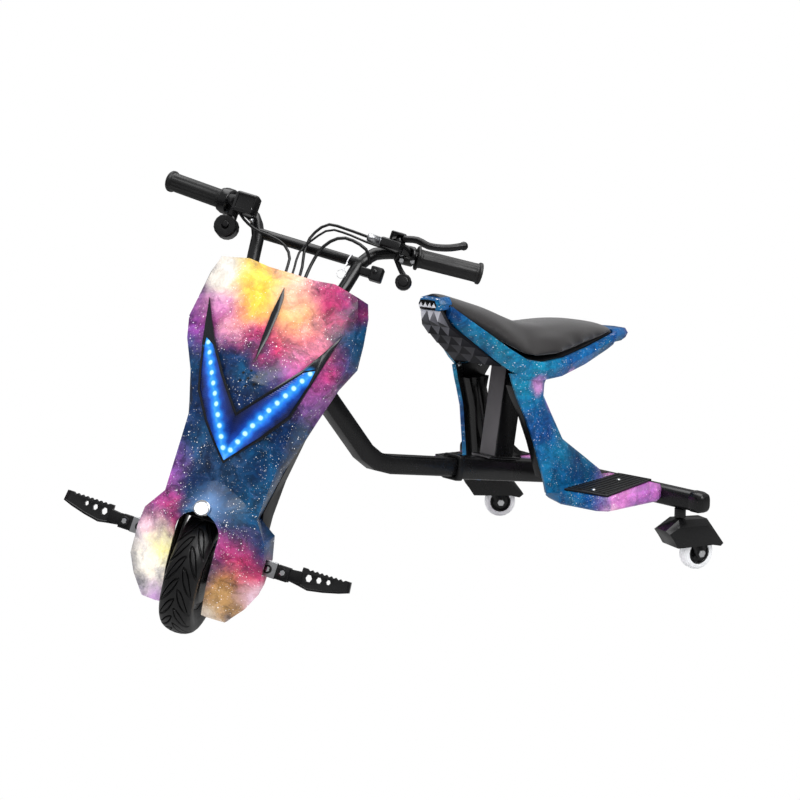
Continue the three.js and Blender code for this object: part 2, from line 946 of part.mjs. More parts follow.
function treadPad(side) {
  const outline = side > 0 ? padOutline : mirrored(padOutline).reverse();
  const plate = extrude(shapeOf(outline), padThickness, fineEdge).translate(0, 0, stepTop + gap);
  const box = new THREE.Box3().setFromObject(new THREE.Mesh(plate));
  const ribs = [];
  for (let y = box.min.y + padRibPitch; y < box.max.y; y += padRibPitch) {
    ribs.push(
      block(
        [side * (box.max.x + box.min.x) * half * side, y, stepTop + padThickness],
        [box.max.x - box.min.x, padRibPitch * padRibShare, padRib * 2],
        0.5,
      ),
    );
  }
  const inner = outline.map(([x, y]) => {
    const middle = outline.reduce(
      (sum, p) => [sum[0] + p[0] / outline.length, sum[1] + p[1] / outline.length],
      [0, 0],
    );
    return [middle[0] + (x - middle[0]) * padFieldShares[0], middle[1] + (y - middle[1]) * padFieldShares[1]];
  });
  const field = extrude(shapeOf(inner), padThickness * 3).translate(
    0,
    0,
    stepTop + gap + padThickness * half,
  );
  return join(plate, overlap(join(...ribs), field));
}

// Front panel of square pyramids between the two bands
function seatFrontPanel() {
  const length = [0];
  panelStations.slice(1).forEach(([y, z], i) => {
    length.push(length[i] + Math.hypot(y - panelStations[i][0], z - panelStations[i][1]));
  });
  const total = length[length.length - 1];
  const station = (share) => {
    const distance = share * total;
    const i = Math.min(length.findLastIndex((l) => l <= distance), panelStations.length - 2);
    const t = (distance - length[i]) / (length[i + 1] - length[i]);
    return panelStations[i].map((value, k) => value + (panelStations[i + 1][k] - value) * t);
  };
  const corner = (r, c, depth) => {
    const [y, z, width] = station(r / panelRows);
    const [y1, z1] = station(Math.max(r - half, 0) / panelRows);
    const [y2, z2] = station(Math.min(r + half, panelRows) / panelRows);
    const out = new THREE.Vector3(0, z2 - z1, y1 - y2).normalize();
    const x = width * (c / panelColumns * 2 - 1);
    return new THREE.Vector3(x, y, z).addScaledVector(out, depth);
  };
  const points = [];
  const face = (r, c) => r * (panelColumns + 1) + c;
  for (let r = 0; r <= panelRows; r += 1) {
    for (let c = 0; c <= panelColumns; c += 1) points.push(corner(r, c, 0));
  }
  const backStart = points.length;
  for (let r = 0; r <= panelRows; r += 1) {
    for (let c = 0; c <= panelColumns; c += 1) points.push(corner(r, c, -panelThickness));
  }
  const index = [];
  for (let r = 0; r < panelRows; r += 1) {
    for (let c = 0; c < panelColumns; c += 1) {
      const ring = [face(r, c), face(r, c + 1), face(r + 1, c + 1), face(r + 1, c)];
      const apex = points.push(corner(r + half, c + half, pyramidHeight)) - 1;
      ring.forEach((a, i) => index.push(a, ring[(i + 1) % 4], apex));
      const back = ring.map((a) => a + backStart);
      index.push(back[0], back[2], back[1], back[0], back[3], back[2]);
    }
  }
  const rim = [];
  for (let c = 0; c < panelColumns; c += 1) rim.push(face(0, c));
  for (let r = 0; r < panelRows; r += 1) rim.push(face(r, panelColumns));
  for (let c = panelColumns; c > 0; c -= 1) rim.push(face(panelRows, c));
  for (let r = panelRows; r > 0; r -= 1) rim.push(face(r, 0));
  rim.forEach((a, i) => {
    const b = rim[(i + 1) % rim.length];
    index.push(b, a, a + backStart, b, a + backStart, b + backStart);
  });
  return outward(new THREE.BufferGeometry().setFromPoints(points), index);
}

function fittedPanel(shells) {
  return largest(clearOf(seatFrontPanel(), ...shells));
}

// Casters, with the stem on the Z axis and the wheel trailing toward +Y

function casterFork() {
  const stem = rod(casterStemRadius, barZ + 8 - casterCrown, fitSides).translate(0, 0, casterCrown);
  const collarLength = barZ - barHeight * half - gap - casterCollarFoot;
  const collar = rod(casterCollarRadius, collarLength, roundSides, 1).translate(0, 0, casterCollarFoot);
  const inner = casterWheelWidth * half + casterPlateGap;
  const plate = (x) => {
    const geometry = extrude(shapeOf(casterPlate), casterPlateThickness);
    geometry.rotateX(Math.PI * half);
    geometry.rotateZ(Math.PI * half);
    return geometry.translate(x, 0, 0);
  };
  const crown = block([0, 1, casterCrown + casterCrownLift], [inner * 2 + casterPlateThickness * 2, ...casterCrownSize], fineEdge);
  const bolt = rod(casterBoltRadius, (inner + casterPlateThickness + casterBoltOverhang) * 2, smallBoreSides, fineEdge * 0.75);
  aim(bolt, [-inner - casterPlateThickness - casterBoltOverhang, casterTrail, casterWheelRadius], [1, 0, 0]);
  const nut = (x) => aim(
    rod(casterBoltRadius * casterNutScale, casterBoltOverhang, hexSides, half),
    [x, casterTrail, casterWheelRadius],
    [1, 0, 0],
  );
  const sides = [plate(inner), plate(-inner - casterPlateThickness)];
  return join(
    stem,
    collar,
    crown,
    ...sides,
    bolt,
    nut(inner + casterPlateThickness - casterNutBite),
    nut(casterNutBite - inner - casterPlateThickness - casterBoltOverhang),
  );
}

function casterCover() {
  const ring = (outline, x) => outline.map(([back, up]) => new THREE.Vector3(x, back, up));
  const side = coverWidth * half;
  const crown = coverCrownWidth * half;
  const hood = loft(
    [ring(coverSide, -side), ring(coverCrown, -crown), ring(coverCrown, crown), ring(coverSide, side)],
  );
  const room = loft([coverWall - side, side - coverWall].map((x) => ring(coverRoom, x)));
  const hole = rod(boreAround(casterStemRadius + gap, fitSides), barZ, fitSides);
  return largest(cut(hood, room, hole));
}

function casterTyre() {
  const w = casterWheelWidth * half;
  const r = casterWheelRadius;
  const inner = casterHubRadius + gap;
  const profile = [
    [inner, -w],
    [r - 4, -w],
    [r - 1, -w + 3],
    [r, -w * 0.4],
    [r, w * 0.4],
    [r - 1, w - 3],
    [r - 4, w],
    [inner, w],
    [inner, -w],
  ];
  return aim(lathe(profile, casterSides), [0, casterTrail, r], [1, 0, 0]);
}

function casterHub() {
  const w = casterWheelWidth * half;
  const bore = boreAround(casterBoltRadius, casterSides);
  const r = casterHubRadius;
  const profile = [
    [bore, -w],
    [9, -w],
    [9, -w + 4],
    [r - 5, -w + 4],
    [r - 3, -w + 1],
    [r, -w + 1],
    [r, w - 1],
    [r - 3, w - 1],
    [r - 5, w - 4],
    [9, w - 4],
    [9, w],
    [bore, w],
    [bore, -w],
  ];
  return aim(lathe(profile, casterSides), [0, casterTrail, casterWheelRadius], [1, 0, 0]);
}

function caster(side, name) {
  const fork = mesh(`caster_fork_${name}`, casterFork(), steelBlack);
  const cover = mesh(`caster_cover_${name}`, casterCover(), plasticBlack);
  const tyre = mesh(`caster_tyre_${name}`, casterTyre(), look(0xe9eaec, 0.45, 0));
  const hub = mesh(`caster_hub_${name}`, casterHub(), look(0x17171a, 0.5, 0.05));
  const node = group(`caster_${name}`, fork, cover, tyre, hub);
  node.position.set(side * casterX, casterY, 0);
  node.rotation.z = -degrees(casterTurns[name]);
  return node;
}

// Front frame

const rake = degrees(rakeDegrees);
const axisUp = new THREE.Vector3(0, Math.sin(rake), Math.cos(rake));

// A point on the steering axis at a height along it
const onAxis = (height) => vector(axisPoint).addScaledVector(axisUp, height).toArray();

function frontFrame() {
  const behind = tubeInSleeve;
  const end = [0, sleeveMouth[0] + alongSleeve[1] * behind, sleeveMouth[1] + alongSleeve[2] * behind];
  const path = roundedPath([[0, ...headCentre], [0, ...bendPoint], end], bendRadius);
  const beam = sweep(path, roundedBoxShape(tubeWidth, tubeWidth, tubeRounding), beamSteps, 1);
  const head = aim(
    rod(headTubeRadius, headTubeHigh - headTubeLow, roundSides, 1.5),
    onAxis(headTubeLow),
    axisUp.toArray(),
  );
  const bore = aim(
    rod(boreAround(steererRadius, fitSides), headTubeHigh, fitSides),
    onAxis(headTubeLow * half),
    axisUp.toArray(),
  );
  return largest(cut(join(beam, head), bore));
}

// Steering parts, in steering coordinates: X to the rider's left, -Y forward, Z up the axis

const forward = (points) => points.map(([side, ahead, up]) => [side, -ahead, up]);
const leftwards = (points, side) => (side > 0 ? points : mirrored(points));

function fork() {
  const steerer = rod(steererRadius, steererTop - crownLow, fitSides).translate(0, 0, crownLow);
  const race = (z) => rod(headTubeRadius - 1, 6, roundSides, 1.5).translate(0, 0, z);
  const crown = block(
    [0, 0, (crownLow + crownHigh) * half],
    [forkHalf * 2 + forkLegThickness, forkLegWidth + 8, crownHigh - crownLow],
    3,
  );
  const legs = [-1, 1].map((side) => {
    const height = crownHigh - forkFoot;
    return block(
      [side * forkHalf, -wheelForward * half, forkFoot + height * half],
      [forkLegThickness, forkLegWidth, height],
      2,
    );
  });
  const axleHole = aim(
    rod(boreAround(axleRadius, fitSides), axleHalf * 2, fitSides),
    [-axleHalf, -wheelForward, wheelRise],
    [1, 0, 0],
  );
  return cut(
    join(steerer, race(headTubeLow - 6 - gap), race(headTubeHigh + gap), crown, ...legs),
    axleHole,
  );
}

function axle() {
  const shaft = aim(
    rod(axleRadius, axleHalf * 2, fitSides, 0.8),
    [-axleHalf, -wheelForward, wheelRise],
    [1, 0, 0],
  );
  const nuts = [-1, 1].map((side) => {
    const near = forkHalf + forkLegThickness * half + gap;
    return aim(rod(nutRadius, nutThickness, 6, 1), [side * near, -wheelForward, wheelRise], [side, 0, 0]);
  });
  return join(shaft, ...nuts);
}

function frontTyre() {
  const w = tyreWidth * half;
  const inner = rimRadius + gap;
  const right = tyreWall.map(([up, share]) => [inner + up, w * share]);
  const left = right.map(([radius, x]) => [radius, -x]);
  const profile = [...left, [tyreRadius, 0], ...right.reverse(), left[0]];
  return aim(lathe(profile, wheelSides), [0, -wheelForward, wheelRise], [1, 0, 0]);
}

function hubMotor() {
  const w = tyreWidth * half;
  const bore = boreAround(axleRadius, wheelSides);
  const profile = [
    [bore, -w - motorBossReach],
    [motorBoss, -w - motorBossReach],
    [motorShoulder, -w + 2],
    [rimRadius - motorDish, -w + motorInset],
    [rimRadius - motorRim, -w * rimShare],
    [rimRadius, -w * rimShare],
    [rimRadius, w * rimShare],
    [rimRadius - motorRim, w * rimShare],
    [rimRadius - motorDish, w - motorInset],
    [motorShoulder, w - 2],
    [motorBoss, w + motorBossReach],
    [bore, w + motorBossReach],
    [bore, -w - motorBossReach],
  ];
  return aim(lathe(profile, wheelSides), [0, -wheelForward, wheelRise], [1, 0, 0]);
}

function archLiner() {
  const start = degrees(linerStartDegrees);
  const turns = linerTurns;
  const arc = degrees(linerSpanDegrees) / turns;
  const rings = Array.from({ length: turns + 1 }, (_, i) => {
    const angle = start + arc * i;
    const at = (radius, x) => new THREE.Vector3(
      x,
      -wheelForward - Math.cos(angle) * radius,
      wheelRise + Math.sin(angle) * radius,
    );
    const outer = crownLow - wheelRise - gap;
    return [
      at(linerRadius, -linerHalf),
      at(linerRadius, linerHalf),
      at(outer, linerHalf),
      at(outer, -linerHalf),
    ];
  });
  return loft(rings);
}

const shieldGrid = shieldRows.map((row) => {
  const left = row.slice(1).map(([side, ahead, up]) => [-side, ahead, up]).reverse();
  return forward([...left, ...row]).map(vector).reverse();
});

// A prism through the shield's face from a mirrored outline of [side, up]
function faceCutter(outline, bothSides = true) {
  const rim = bothSides ? [...outline, ...mirrored(outline.slice(1, -1)).reverse()] : outline;
  const geometry = extrude(shapeOf(rim), reach, 0);
  geometry.rotateX(Math.PI * half);
  return geometry;
}

function archCutter() {
  const shape = new THREE.Shape();
  shape.moveTo(-archHalf, archFoot);
  shape.lineTo(archHalf, archFoot);
  shape.lineTo(archHalf, archTop - archHalf);
  shape.absarc(0, archTop - archHalf, archHalf, 0, Math.PI, false);
  const geometry = extrude(shape, reach, 0, 8);
  geometry.rotateX(Math.PI * half);
  return geometry;
}

function shieldFront() {
  const skin = sheet(shieldGrid, -shieldWall, 0);
  const lamp = headlightBody(headlightRadius + gap, reach * half);
  const sound = rod(speakerHoleRadius, reach, 6);
  sound.rotateX(Math.PI * half);
  const holes = [[0, 0], ...Array.from({ length: speakerHoles }, (_, i) => {
    const angle = (i / speakerHoles) * Math.PI * 2 + Math.PI * half;
    return [Math.cos(angle) * speakerRing, Math.sin(angle) * speakerRing];
  })].map(([x, z]) => moved(sound, x, 0, speakerHeight + z));
  const slots = [-1, 1].map(
    (side) => block(
      [side * (bracketSide + 15), -hingeForward - 9, pegHeight],
      [90, 44, bracketHeight + gap * 4],
      1,
    ),
  );
  return largest(cut(skin, archCutter(), lamp, ...holes, ...slots));
}

function shieldBack() {
  const rows = backRows.map(([up, rear, depth, front]) => [
    [-front, backFront, up],
    [-rear, depth, up],
    [-rear * 0.4, depth - 6, up],
    [rear * 0.4, depth - 6, up],
    [rear, depth, up],
    [front, backFront, up],
  ]);
  const top = rows[0].map(([side, , up]) => [side, backFront - 2, up + 3]);
  const grid = [top, ...rows].map((row) => forward(row).map(vector));
  const neck = rod(steererRadius + gap, reach, roundSides).translate(0, 0, crownLow);
  const crownRoom = block(
    [0, 0, crownLow],
    [forkHalf * 2 + forkLegThickness * 2, forkLegWidth + 12, crownHigh - crownLow + 24],
    2,
  );
  const slot = block([0, backSlotHalf * half, 0], [backSlotHalf * 2, reach * half, backSlotTop * 2], 1);
  return largest(cut(sheet(grid, 0, backWall), neck, crownRoom, slot));
}

function vBezel() {
  const skin = sheet(shieldGrid, gap, bezelProud);
  const ring = overlap(skin, faceCutter(bezelOutline));
  const seat = overlap(sheet(shieldGrid, lensFloor, bezelProud * 2), faceCutter(lensOutline));
  return largest(cut(ring, seat));
}

// The lens keeps a small gap to its bezel all round
function vLens() {
  const cutter = faceCutter(lensOutline);
  const across = overlap(moved(cutter, gap, 0, 0), moved(cutter, -gap, 0, 0));
  const upright = overlap(moved(cutter, 0, 0, gap), moved(cutter, 0, 0, -gap));
  return largest(overlap(sheet(shieldGrid, lensFloor + gap * 2, lensProud + 1), overlap(across, upright)));
}

function centreFin() {
  return largest(overlap(sheet(shieldGrid, gap, finProud), faceCutter(finOutline, false)));
}

function headlightBody(radius, length) {
  const body = rod(radius, length, roundSides);
  body.translate(0, 0, -length);
  const tilt = degrees(headlightTilt);
  return aim(body, [0, -headlightForward, headlightHeight], [0, -Math.cos(tilt), Math.sin(tilt)]);
}

function headlightRing() {
  const bore = headlightBody(headlightLensRadius + gap, headlightLength * half);
  return cut(headlightBody(headlightRadius, headlightLength), bore);
}

function headlightLens() {
  const tilt = degrees(headlightTilt);
  const r = headlightLensRadius;
  const depth = headlightLength * half - gap;
  const profile = [[0, -depth], [r, -depth], [r, -1], [r * 0.8, 0.6], [r * 0.45, 1.7], [0, 2.1]];
  return aim(
    lathe(profile, roundSides),
    [0, -headlightForward, headlightHeight],
    [0, -Math.cos(tilt), Math.sin(tilt)],
  );
}

function speaker() {
  const r = speakerRing + speakerRim;
  const middle = shieldRows[5][0][1];
  const slope = degrees(speakerSlopeDegrees);
  const profile = [[0, 0], [r * rimShare, 0], [r, speakerBack[0]], [r, speakerBack[1]], [0, speakerBack[1]]];
  return aim(
    lathe(profile, roundSides),
    [0, -middle + speakerDepth, speakerHeight + 2],
    [0, -Math.cos(slope), Math.sin(slope)],
  );
}

function pegBracket(side) {
  const ear = barrelLength * half + gap + bracketThickness * half;
  const foot = block(
    [side * (bracketSide + 14), -hingeForward - 9, pegHeight],
    [30, bracketThickness * 2, bracketHeight],
    1,
  );
  const ears = [-1, 1].map(
    (way) => block(
      [side * (hingeSide - 3), way * ear - hingeForward, pegHeight],
      [26, bracketThickness, bracketHeight - 2],
      1,
    ),
  );
  const stay = block([side * (hingeSide - 17), -hingeForward, pegHeight], [6, ear * 2, bracketHeight], 1);
  const pinLength = (ear + bracketThickness * half + 3) * 2;
  const pin = aim(
    rod(hingeRadius, pinLength, fitSides, 1),
    [side * hingeSide, pinLength * half - hingeForward, pegHeight],
    [0, -1, 0],
  );
  const near = forkHalf + forkLegThickness * half + gap;
  const bar = block(
    [side * (near + bracketBar * half), 6, pegHeight],
    [bracketBar, 8, bracketHeight * 0.8],
    1.5,
  );
  const web = block(
    [side * (near + bracketBar - 10), -hingeForward, pegHeight],
    [10, 24, bracketHeight * 0.8],
    1,
  );
  return join(foot, ...ears, pin, stay, bar, web);
}

function peg(side) {
  const top = [];
  for (let x = pegStep; x < pegLength - toothPitch; x += toothPitch * half) {
    const notch = x > pegStep + toothPitch && (top.length % 2) ? toothDepth : 0;
    top.push([x, THREE.MathUtils.mapLinear(x, pegStep, pegLength, pegTop, pegTipTop) - notch]);
  }
  const outline = [
    [pegStart, -pegNeck * half],
    ...pegUnderside,
    [pegLength, -pegTipTop],
    [pegLength, pegTipTop],
    ...top.reverse(),
    [pegStep - 1, pegNeck * half],
    [pegStart, pegNeck * half],
  ];
  const shape = shapeOf(outline);
  pegHoles.forEach(([x, radius]) => {
    const hole = new THREE.Path();
    hole.absellipse(x, 1, radius * 0.85, radius, 0, Math.PI * 2, true);
    shape.holes.push(hole);
  });
  const web = extrude(shape, pegWeb, 0.6, 3).translate(0, 0, -pegWeb * half);
  const rail = shapeOf(
    [
      [pegStep, pegUnderside[0][1] + pegRail],
      ...pegUnderside.map(([x, y]) => [x, y]),
      [pegLength, -pegTipTop],
      [pegLength, pegTipTop],
      [pegLength - pegRail, pegTipTop],
      [pegLength - pegRail, -pegTipTop + pegRail * half],
      ...pegUnderside.slice(1).reverse().map(([x, y]) => [x, y + pegRail]),
    ],
  );
  const rim = extrude(rail, pegThickness, 0.8).translate(0, 0, -pegThickness * half);
  const neck = block(
    [pegStep * half + pegStart * half, 0, 0],
    [pegStep - pegStart + 2, pegNeck, pegThickness],
    1.5,
  );
  const plate = join(web, rim, neck);
  plate.rotateZ(degrees(pegRise));
  const barrel = rod(hingeRadius + 5, barrelLength, roundSides, 0.8).translate(0, 0, -barrelLength * half);
  const bore = rod(
    boreAround(hingeRadius, fitSides),
    barrelLength * 2,
    fitSides,
  ).translate(0, 0, -barrelLength);
  const body = cut(join(plate, barrel), bore);
  body.rotateX(Math.PI * half);
  if (side < 0) body.rotateZ(Math.PI);
  return body.translate(side * hingeSide, -hingeForward, pegHeight);
}

const barEnd = vector(barCorners.at(-1));
const barStart = vector(barCorners.at(-2));
const barDirection = barEnd.clone().sub(barStart).normalize();
const onBar = (distance, side) => {
  const point = barStart.clone().addScaledVector(barDirection, distance);
  return [side * point.x, point.y, point.z];
};
const barWay = (side) => [side * barDirection.x, barDirection.y, barDirection.z];

// Control coordinates are [side, forward, up] for the tables and the bar's own curve
const flip = ([x, y, z]) => [x, -y, z];
const barLine = (distance, side) => flip(onBar(distance, side));
const barAim = (side) => flip(barWay(side));

function handlebar() {
  const right = mirrored(barCorners).reverse();
  const path = roundedPath(forward([...right, ...barCorners]), barBend);
  const bar = sweep(path, circle(barTube, tubeSides), barSteps);
  const [x, y, z] = bracePoint;
  const brace = aim(rod(braceRadius, x * 2, tubeSides), [-x, -y, z], [1, 0, 0]);
  const clamp = aim(
    rod(clampRadius, clampHalf * 2, roundSides, 2),
    [-clampHalf, 0, barCorners[0][2]],
    [1, 0, 0],
  );
  const neck = rod(steererRadius, 30, roundSides).translate(0, 0, steererTop - 28);
  const room = rod(steererRadius + gap, steererTop, roundSides).translate(0, 0, gap);
  return cut(join(bar, brace, clamp, neck), room);
}

function ringOnBar(at, side, radius, length, bevel = 1) {
  return aim(rod(radius, length, roundSides, bevel), barLine(at, side), barAim(side));
}

const barRoom = (side) => aim(rod(barTube + gap, 220, roundSides), barLine(-4, side), barAim(side));

// A grip of lengthwise ribs, wider at its inner flange
function grip(side) {
  const count = gripRibs * 4;
  const ring = (z, radius, depth) => Array.from({ length: count }, (_, i) => {
    const angle = (i / count) * Math.PI * 2;
    const wave = depth * (i % 4 < 2 ? 0 : 1);
    return new THREE.Vector3((radius - wave) * Math.cos(angle), (radius - wave) * Math.sin(angle), z);
  });
  const r = gripRadius;
  const rings = [
    ring(0, gripFlange - 1, 0),
    ring(1, gripFlange, 0),
    ring(4, gripFlange, 0),
    ring(5, r, 0),
    ring(9, r, 0),
    ring(10, r, gripRibDepth),
    ring(gripLength - 12, r, gripRibDepth),
    ring(gripLength - 10, r, 0),
    ring(gripLength - 7, r, 0),
    ring(gripLength - 5, r + gripEndFlare, 0),
    ring(gripLength - 1, r + gripEndFlare, 0),
    ring(gripLength, r + gripEndFlare - 1, 0),
  ];
  const body = aim(loft(rings), barLine(gripStart, side), barAim(side));
  const depth = barEnd.distanceTo(barStart) + gap - gripStart;
  const bore = aim(rod(barTube + gap, depth + 1, roundSides), barLine(gripStart - 1, side), barAim(side));
  return cut(body, bore);
}

function brakeClamp() {
  const ring = ringOnBar(brakeRingAt, 1, barTube + ringWall, ringLength);
  const [x, ahead, up] = leverPivot;
  const [bx, by, bz] = barLine(brakeRingAt + ringLength * half, 1);
  const arm = tube(
    [[bx, by - 8, bz], [(bx + x) * half, (by - ahead) * half, (bz + up) * half], [x - 4, -ahead, up - 4]],
    7.5,
    6,
  );
  const body = block([x + clampBodyShift[0], -ahead, up + clampBodyShift[1]], clampBody, 3);
  const [ax, aAhead, aUp] = adjusterPoint;
  const barrel = aim(
    rod(adjusterRadius, adjusterLength, 12, smallEdge),
    [x + adjusterShift[0], -ahead, up + adjusterShift[1]],
    [ax - x - adjusterShift[0], ahead - aAhead, aUp - up - adjusterShift[1]],
  );
  const pin = rod(pinRadius, pinLength, fitSides, half).translate(x, -ahead, up - pinDrop);
  const jaw = block([x + jawShift[0], -ahead, up + jawShift[1]], jawSize, fineEdge);
  const wall = block([x + wallShift[0], -ahead, up + wallShift[1]], wallSize, smallEdge);
  const leverRoom = rod(leverEyeRoom, leverEyeRoomHeight + gap, smallBoreSides).translate(x, -ahead, up - gap - 0.1);
  const whole = cut(join(ring, arm, body, barrel, jaw, wall), leverRoom, ...leverPoses());
  return largest(cut(join(whole, pin), barRoom(1)));
}

// The lever at rest and pulled in, to leave it room to turn
function leverPoses() {
  const [x, ahead] = leverPivot;
  return [0, half, 1].flatMap((share) => {
    const lever = brakeLever().translate(-x, ahead, 0);
    lever.rotateZ(degrees(leverDegrees) * share).scale(
      leverRoomShare,
      leverRoomShare,
      1,
    ).translate(x, -ahead, 0);
    return [moved(lever, 0, 0, gap), moved(lever, 0, 0, -gap)];
  });
}

function brakeLever() {
  const path = new THREE.CatmullRomCurve3(forward(leverPath.slice(1)).map(vector), false, "centripetal");
  const section = new THREE.Shape(
    circle(leverThickness, 8).getPoints().slice(0, 8).map((p) => new THREE.Vector2(p.x * leverFlatShare, p.y)),
  );
  const blade = sweep(path, section, 14);
  const [x, ahead, up] = leverPivot;
  const eye = rod(leverEyeRadius, leverEyeHeight, smallBoreSides, 0.6).translate(x, -ahead, up);
  const link = tube(forward([[x, ahead, up + leverLinkLift], leverPath[1], leverPath[2]]), leverLinkRadius, 5, cordSides);
  const ball = new THREE.SphereGeometry(leverBallRadius, 10, 7);
  ball.translate(...forward([leverPath[leverPath.length - 1]])[0]);
  const bore = rod(boreAround(pinRadius, fitSides), pinLength * 2, fitSides).translate(x, -ahead, up - pinLength);
  return largest(cut(join(eye, link, blade, ball), bore));
}

function throttleHousing() {
  const ring = ringOnBar(throttleRingAt, -1, throttleHousingRadius, gripStart - throttleRingAt - gap, 2);
  const [x, ahead, up] = displayCentre;
  const from = barLine(throttleRingAt + 7, -1);
  const arm = tube(
    [from, [from[0] + 8, from[1] - 16, from[2] + 2], [x - displaySize[0] * half - gap * 2, -ahead + 4, up]],
    8,
    8,
  );
  return cut(join(ring, arm), barRoom(-1));
}

function batteryDisplay() {
  const [x, ahead, up] = displayCentre;
  const box = block([x, -ahead, up], displaySize, 5);
  const window = block(
    [x, -ahead - displaySize[1] * half, up],
    [displaySize[0] - 10, displayRecess * 2, displaySize[2] - 10],
    displayRecess * half,
  );
  return largest(clearOf(cut(box, window), throttleHousing()));
}

function switchBody() {
  const ring = ringOnBar(switchRingAt, -1, barTube + ringWall, throttleRingAt - switchRingAt - gap * 4);
  const [x, ahead, up] = switchCentre;
  const puck = aim(
    rod(switchRadius, switchLength, roundSides, 2.5),
    [x, -ahead + switchLength * half, up],
    [0, -1, 0],
  );
  const neck = block([x + 2, -ahead + 4, up + 22], [15, 14, 30], 3);
  const well = aim(
    rod(switchButtonRadius + gap, switchLength, tubeSides),
    [x, -ahead - switchLength * half + 6, up],
    [0, -1, 0],
  );
  const housing = throttleHousing();
  return largest(
    clearOf(
      cut(join(ring, neck, puck), well),
      handlebar(),
      housing,
      housing.clone().translate(-gap * half, 0, gap),
    ),
  );
}

// A push button seated in a well, out of a front face
function pushButton([x, ahead, up], front, radius) {
  return aim(
    rod(radius, 6 + buttonProud - buttonTravel - gap, tubeSides, 0.8),
    [x, -ahead - front + 6 - buttonTravel - gap, up],
    [0, -1, 0],
  );
}

function accessoryBox() {
  const box = block(flip(accessoryCentre), accessorySize, 3);
  const [x, ahead, up] = accessoryCentre;
  const strap = block([x - 16, -ahead + 9, up], [30, 16, 14], 3);
  return largest(clearOf(join(box, strap), handlebar()));
}

function hornDisc() {
  const [x, ahead, up] = hornCentre;
  const disc = aim(
    rod(hornRadius, hornLength, roundSides, 1.5),
    [x, -ahead + hornLength * half, up],
    [0, -1, 0],
  );
  const ringAt = brakeRingAt - 13;
  const ring = ringOnBar(ringAt, 1, barTube + ringWall - 1, 12);
  const stalk = tube(
    [
      barLine(ringAt + 6, 1).map((v, i) => v - (i === 2 ? 13 : 0)),
      [x - 12, -ahead + 10, up + 20],
      [x, -ahead + 3, up + 9],
    ],
    4.5,
    8,
    10,
  );
  const well = aim(
    rod(hornButtonRadius + gap, hornLength, tubeSides),
    [x, -ahead - hornLength * half + 6, up],
    [0, -1, 0],
  );
  return largest(clearOf(cut(join(ring, stalk, disc), well), handlebar(), brakeClamp()));
}

function cable(name) {
  const { radius, points } = cableRoutes[name];
  return tube(forward(points), radius, cableSteps, cordSides);
}

function steering() {
  const forkNode = mesh("fork", fork(), steelBlack);
  const wheel = group(
    "front_wheel",
    mesh("front_tyre", frontTyre(), rubberBlack),
    mesh("hub_motor", hubMotor(), look(0x2a2b2e, 0.4, 0.7)),
  );
  const shield = group(
    "shield",
    mesh("shield_front", shieldFront(), look(0xc05a9a, 0.25, 0.1)),
    mesh("shield_back", shieldBack(), plasticBlack),
    mesh("arch_liner", archLiner(), plasticBlack),
    mesh("v_light_bezel", vBezel(), look(0x0c0c10, 0.15, 0.1)),
    mesh("v_light_lens", vLens(), look(0x2a6cff, 0.2, 0, { emissive: 0x1440c0 })),
    mesh("centre_fin", centreFin(), plasticBlack),
    mesh("headlight_ring", headlightRing(), silver),
    mesh("headlight_lens", headlightLens(), look(0xf4f8ff, 0.1, 0)),
    mesh("speaker", speaker(), plasticBlack),
  );
  const pegs = [1, -1].flatMap((side) => {
    const name = side > 0 ? "left" : "right";
    return [
      mesh(`peg_bracket_${name}`, pegBracket(side), silver),
      mesh(`peg_${name}`, peg(side), steelBlack),
    ];
  });
  const battery = block(
    [0, -steererRadius - gap - batterySize[1] * half, batteryLow + batterySize[2] * half],
    batterySize,
    5,
  );
  const controller = block(
    [0, -controllerForward, batteryLow + batterySize[2] + gap + controllerSize[2] * half],
    controllerSize,
    3,
  );
  const bar = group(
    "bar",
    mesh("handlebar", handlebar(), steelBlack),
    mesh("grip_left", grip(1), rubberBlack),
    mesh("throttle_grip", grip(-1), rubberBlack),
    mesh("throttle_housing", throttleHousing(), plasticBlack),
    mesh("battery_display", batteryDisplay(), plasticBlack),
    mesh("switch_body", switchBody(), plasticBlack),
    mesh(
      "mode_button",
      pushButton(switchCentre, switchLength * half, switchButtonRadius),
      look(0x8a1c1c, 0.5, 0),
    ),
    mesh("brake_clamp", brakeClamp(), plasticBlack),
    mesh("brake_lever", brakeLever(), look(0x1c1c1f, 0.35, 0.6)),
    mesh("accessory_box", accessoryBox(), plasticBlack),
    mesh("horn_disc", hornDisc(), look(0x55585c, 0.5, 0.3)),
    mesh(
      "horn_button",
      pushButton(hornCentre, hornLength * half, hornButtonRadius),
      look(0x7d8084, 0.5, 0.1),
    ),
    ...Object.keys(cableRoutes).map((name) => mesh(name, cable(name), rubberBlack)),
  );
  const turned = group(
    "turned",
    forkNode,
    mesh("axle", axle(), silver),
    wheel,
    shield,
    ...pegs,
    mesh("battery_pack", battery, look(0x23324a, 0.6, 0)),
    mesh("controller", controller, look(0x9da0a4, 0.4, 0.8)),
    bar,
  );
  turned.rotation.z = degrees(steerDegrees);
  const node = group("steering", turned);
  node.position.set(...axisPoint);
  node.rotation.x = -rake;
  return node;
}

